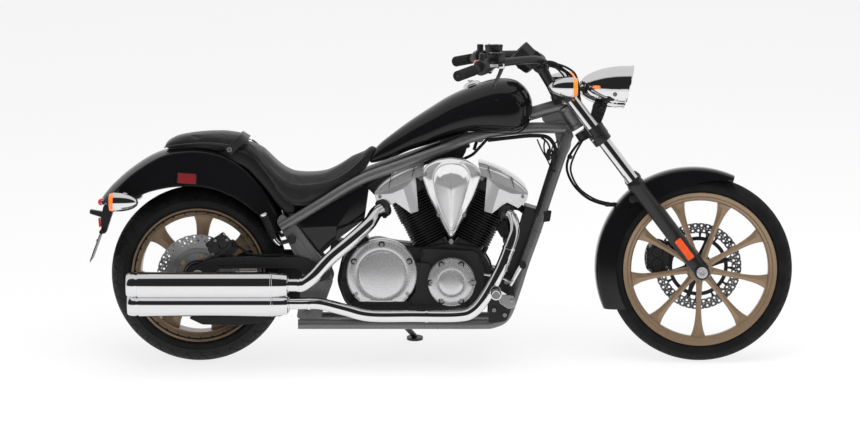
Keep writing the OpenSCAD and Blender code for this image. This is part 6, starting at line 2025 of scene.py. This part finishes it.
def build_stage(looks):
    reach, sunk = 60.0, 0.0005
    a = np.arange(64) * 2 * pi / 64
    r = np.array([0.0, 2.0, 8.0, reach])[:, None]
    g = np.stack([r * np.cos(a), r * np.sin(a), 0 * r * a - sunk], -1)
    skin = Skin().grid(g, round_v=True)
    mesh = new_mesh("studio_floor", np.vstack(skin.points), skin.faces)
    floor = bpy.data.objects.new("studio_floor", mesh)
    floor.data.materials.append(floor_finish(looks.floor_whiteness))
    bpy.context.scene.collection.objects.link(floor)
    studio_sky(looks.sky_level)
    middle, target = (0.0, 0.0, 0.55), placed((831.6, 0.0, 517.1))
    soft_lamp("overhead softbox", (0.3, -0.8, 4.2), middle, (5.0, 3.0), looks.lamp_power)
    soft_lamp("front softbox", (1.5, -5.0, 2.2), middle, (4.0, 2.0), 0.55 * looks.lamp_power)
    camera = bpy.data.cameras.new("side view")
    camera.lens, camera.sensor_width, camera.clip_end = looks.lens_mm, 36.0, 200.0
    view = bpy.data.objects.new("side view", camera)
    rise = LEAN + radians(looks.camera_rise)
    away = looks.camera_distance * np.array((0.0, -cos(rise), sin(rise)))
    view.location = target + away
    view.rotation_euler = (pi / 2 - rise, 0.0, 0.0)
    bpy.context.scene.collection.objects.link(view)
    bpy.context.scene.camera = view
    bpy.context.scene.view_settings.view_transform = "Standard"


# ---- add-on ----


class ChopperLooks(bpy.types.PropertyGroup):
    """Colours and sizes that can be changed before the operators run"""

    paint_colour: bpy.props.FloatVectorProperty(
        name="Paint", description="Gloss paint of the tank and fenders", subtype="COLOR", size=3,
        default=(0.004, 0.004, 0.0045), min=0.0, max=1.0)
    wheel_colour: bpy.props.FloatVectorProperty(
        name="Wheels", description="Metallic paint of both cast wheels", subtype="COLOR", size=3,
        default=(0.29, 0.2, 0.125), min=0.0, max=1.0)
    chrome_colour: bpy.props.FloatVectorProperty(
        name="Chrome", description="Tint of the bright plating", subtype="COLOR", size=3,
        default=(0.8, 0.8, 0.81), min=0.0, max=1.0)
    seat_colour: bpy.props.FloatVectorProperty(
        name="Seat", description="Cover of the seat and pad", subtype="COLOR", size=3,
        default=(0.009, 0.009, 0.0095), min=0.0, max=1.0)
    fin_count: bpy.props.IntProperty(
        name="Fins", description="Cooling fins on each cylinder", default=19, min=6, max=26)
    sky_level: bpy.props.FloatProperty(
        name="Sky", description="Brightness of the studio's diffuse light", default=0.62, min=0.0, max=2.0)
    lamp_power: bpy.props.FloatProperty(
        name="Softbox", description="Power of the overhead lamp", default=170.0, min=0.0, unit="POWER")
    floor_whiteness: bpy.props.FloatProperty(
        name="Floor whiteness", description="Share of plain white in the floor", subtype="FACTOR",
        default=0.8, min=0.0, max=1.0)
    lens_mm: bpy.props.FloatProperty(
        name="Lens", description="Focal length on a 36 mm sensor, in mm", default=174.03, min=20.0)
    camera_rise: bpy.props.FloatProperty(
        name="Camera rise", description="Camera's height angle above the leaning machine's level, in degrees",
        default=5.5, min=-20.0, max=60.0)
    camera_distance: bpy.props.FloatProperty(
        name="Camera distance", description="From the camera to the machine's middle", default=15.0,
        min=2.0, unit="LENGTH")


class CHOPPER_OT_finishes(bpy.types.Operator):
    """Every procedural finish of the machine"""

    bl_idname = "chopper.finishes"
    bl_label = "Finishes"

    def execute(self, context):
        make_finishes(context.scene.chopper_looks)
        return {"FINISHED"}


class CHOPPER_OT_tank(bpy.types.Operator):
    """Teardrop tank with its seam flanges and filler cap"""

    bl_idname = "chopper.tank"
    bl_label = "Tank"

    def execute(self, context):
        build_tank(context.scene.chopper_looks)
        return {"FINISHED"}


class CHOPPER_OT_fenders(bpy.types.Operator):
    """Rear and front fenders with rolled edges and bolts"""

    bl_idname = "chopper.fenders"
    bl_label = "Fenders"

    def execute(self, context):
        build_fenders(context.scene.chopper_looks)
        return {"FINISHED"}


class CHOPPER_OT_seat(bpy.types.Operator):
    """Dished rider seat filled as cloth, with its piping"""

    bl_idname = "chopper.seat"
    bl_label = "Rider seat"

    def execute(self, context):
        build_seat(context.scene.chopper_looks)
        return {"FINISHED"}


class CHOPPER_OT_pillion(bpy.types.Operator):
    """Pad on the rear fender with its strap"""

    bl_idname = "chopper.pillion"
    bl_label = "Pillion pad"

    def execute(self, context):
        build_pillion(context.scene.chopper_looks)
        return {"FINISHED"}


class CHOPPER_OT_rear_wheel(bpy.types.Operator):
    """Rear tyre, cast wheel and drilled disc"""

    bl_idname = "chopper.rear_wheel"
    bl_label = "Rear wheel"

    def execute(self, context):
        build_rear_wheel(context.scene.chopper_looks)
        return {"FINISHED"}


class CHOPPER_OT_front_wheel(bpy.types.Operator):
    """Front tyre, cast wheel and drilled disc"""

    bl_idname = "chopper.front_wheel"
    bl_label = "Front wheel"

    def execute(self, context):
        build_front_wheel(context.scene.chopper_looks)
        return {"FINISHED"}


class CHOPPER_OT_frame_tubes(bpy.types.Operator):
    """Rails, down tubes, backbone, plates, panels and swingarm"""

    bl_idname = "chopper.frame_tubes"
    bl_label = "Frame"

    def execute(self, context):
        build_frame(context.scene.chopper_looks)
        return {"FINISHED"}


class CHOPPER_OT_crankcase(bpy.types.Operator):
    """Crankcase halves and the round covers with their bolts"""

    bl_idname = "chopper.crankcase"
    bl_label = "Crankcase"

    def execute(self, context):
        build_crankcase(context.scene.chopper_looks)
        return {"FINISHED"}


class CHOPPER_OT_cylinders(bpy.types.Operator):
    """Finned cylinders, bases and heads"""

    bl_idname = "chopper.cylinders"
    bl_label = "Cylinders"

    def execute(self, context):
        build_cylinders(context.scene.chopper_looks)
        return {"FINISHED"}


class CHOPPER_OT_rocker_covers(bpy.types.Operator):
    """Chrome rocker covers with their shields"""

    bl_idname = "chopper.rocker_covers"
    bl_label = "Rocker covers"

    def execute(self, context):
        build_rocker_covers(context.scene.chopper_looks)
        return {"FINISHED"}


class CHOPPER_OT_air_cleaner(bpy.types.Operator):
    """Teardrop air cleaner, its boot and the intake"""

    bl_idname = "chopper.air_cleaner"
    bl_label = "Air cleaner"

    def execute(self, context):
        build_air_cleaner(context.scene.chopper_looks)
        return {"FINISHED"}


class CHOPPER_OT_exhaust(bpy.types.Operator):
    """Two headers and two mufflers with their bracket"""

    bl_idname = "chopper.exhaust"
    bl_label = "Exhaust"

    def execute(self, context):
        build_exhaust(context.scene.chopper_looks)
        return {"FINISHED"}


class CHOPPER_OT_fork(bpy.types.Operator):
    """Fork tubes, legs, clamps and axle"""

    bl_idname = "chopper.fork"
    bl_label = "Fork"

    def execute(self, context):
        build_fork(context.scene.chopper_looks)
        return {"FINISHED"}


class CHOPPER_OT_caliper(bpy.types.Operator):
    """Front brake caliper with its bracket and pins"""

    bl_idname = "chopper.caliper"
    bl_label = "Front caliper"

    def execute(self, context):
        build_caliper(context.scene.chopper_looks)
        return {"FINISHED"}


class CHOPPER_OT_headlight(bpy.types.Operator):
    """Headlight and the front signals"""

    bl_idname = "chopper.headlight"
    bl_label = "Headlight"

    def execute(self, context):
        build_headlight(context.scene.chopper_looks)
        return {"FINISHED"}


class CHOPPER_OT_bars(bpy.types.Operator):
    """Handlebar, grips, levers and reservoirs"""

    bl_idname = "chopper.bars"
    bl_label = "Handlebar"

    def execute(self, context):
        build_bars(context.scene.chopper_looks)
        return {"FINISHED"}


class CHOPPER_OT_pod(bpy.types.Operator):
    """Instrument pod, cables and hoses"""

    bl_idname = "chopper.pod"
    bl_label = "Instruments"

    def execute(self, context):
        build_pod(context.scene.chopper_looks)
        return {"FINISHED"}


class CHOPPER_OT_tail(bpy.types.Operator):
    """Tail light, rear signals, reflectors and number plate"""

    bl_idname = "chopper.tail"
    bl_label = "Tail"

    def execute(self, context):
        build_tail(context.scene.chopper_looks)
        return {"FINISHED"}


class CHOPPER_OT_rear_brake(bpy.types.Operator):
    """Rear caliper, hose, axle nut and shaft drive case"""

    bl_idname = "chopper.rear_brake"
    bl_label = "Rear brake"

    def execute(self, context):
        build_rear_brake(context.scene.chopper_looks)
        return {"FINISHED"}


class CHOPPER_OT_pegs(bpy.types.Operator):
    """Forward controls and both pairs of pegs"""

    bl_idname = "chopper.pegs"
    bl_label = "Pegs"

    def execute(self, context):
        build_pegs(context.scene.chopper_looks)
        return {"FINISHED"}


class CHOPPER_OT_fittings(bpy.types.Operator):
    """Radiator, hoses, harness, battery case and stand"""

    bl_idname = "chopper.fittings"
    bl_label = "Fittings"

    def execute(self, context):
        build_fittings(context.scene.chopper_looks)
        return {"FINISHED"}


class CHOPPER_OT_stage(bpy.types.Operator):
    """Pale floor, soft light and the camera"""

    bl_idname = "chopper.stage"
    bl_label = "Studio"

    def execute(self, context):
        build_stage(context.scene.chopper_looks)
        return {"FINISHED"}


STEPS = (
    CHOPPER_OT_finishes,
    CHOPPER_OT_tank,
    CHOPPER_OT_fenders,
    CHOPPER_OT_seat,
    CHOPPER_OT_pillion,
    CHOPPER_OT_rear_wheel,
    CHOPPER_OT_front_wheel,
    CHOPPER_OT_frame_tubes,
    CHOPPER_OT_crankcase,
    CHOPPER_OT_cylinders,
    CHOPPER_OT_rocker_covers,
    CHOPPER_OT_air_cleaner,
    CHOPPER_OT_exhaust,
    CHOPPER_OT_fork,
    CHOPPER_OT_caliper,
    CHOPPER_OT_headlight,
    CHOPPER_OT_bars,
    CHOPPER_OT_pod,
    CHOPPER_OT_tail,
    CHOPPER_OT_rear_brake,
    CHOPPER_OT_pegs,
    CHOPPER_OT_fittings,
    CHOPPER_OT_stage,
)


class CHOPPER_PT_panel(bpy.types.Panel):
    """Lists the looks and every step in order"""

    bl_idname = "CHOPPER_PT_panel"
    bl_label = "Chopper motorcycle"
    bl_space_type = "VIEW_3D"
    bl_region_type = "UI"
    bl_category = "Chopper"

    def draw(self, context):
        looks = context.scene.chopper_looks
        for name in looks.__annotations__:
            self.layout.prop(looks, name)
        for step in STEPS:
            self.layout.operator(step.bl_idname)


CLASSES = (ChopperLooks, *STEPS, CHOPPER_PT_panel)


def register():
    for one in CLASSES:
        bpy.utils.register_class(one)
    bpy.types.Scene.chopper_looks = bpy.props.PointerProperty(type=ChopperLooks)


def unregister():
    del bpy.types.Scene.chopper_looks
    for one in reversed(CLASSES):
        bpy.utils.unregister_class(one)


def main():
    """Runs every step in order."""
    register()
    for step in STEPS:
        group, name = step.bl_idname.split(".")
        getattr(getattr(bpy.ops, group), name)()


if __name__ == "__main__":
    main()
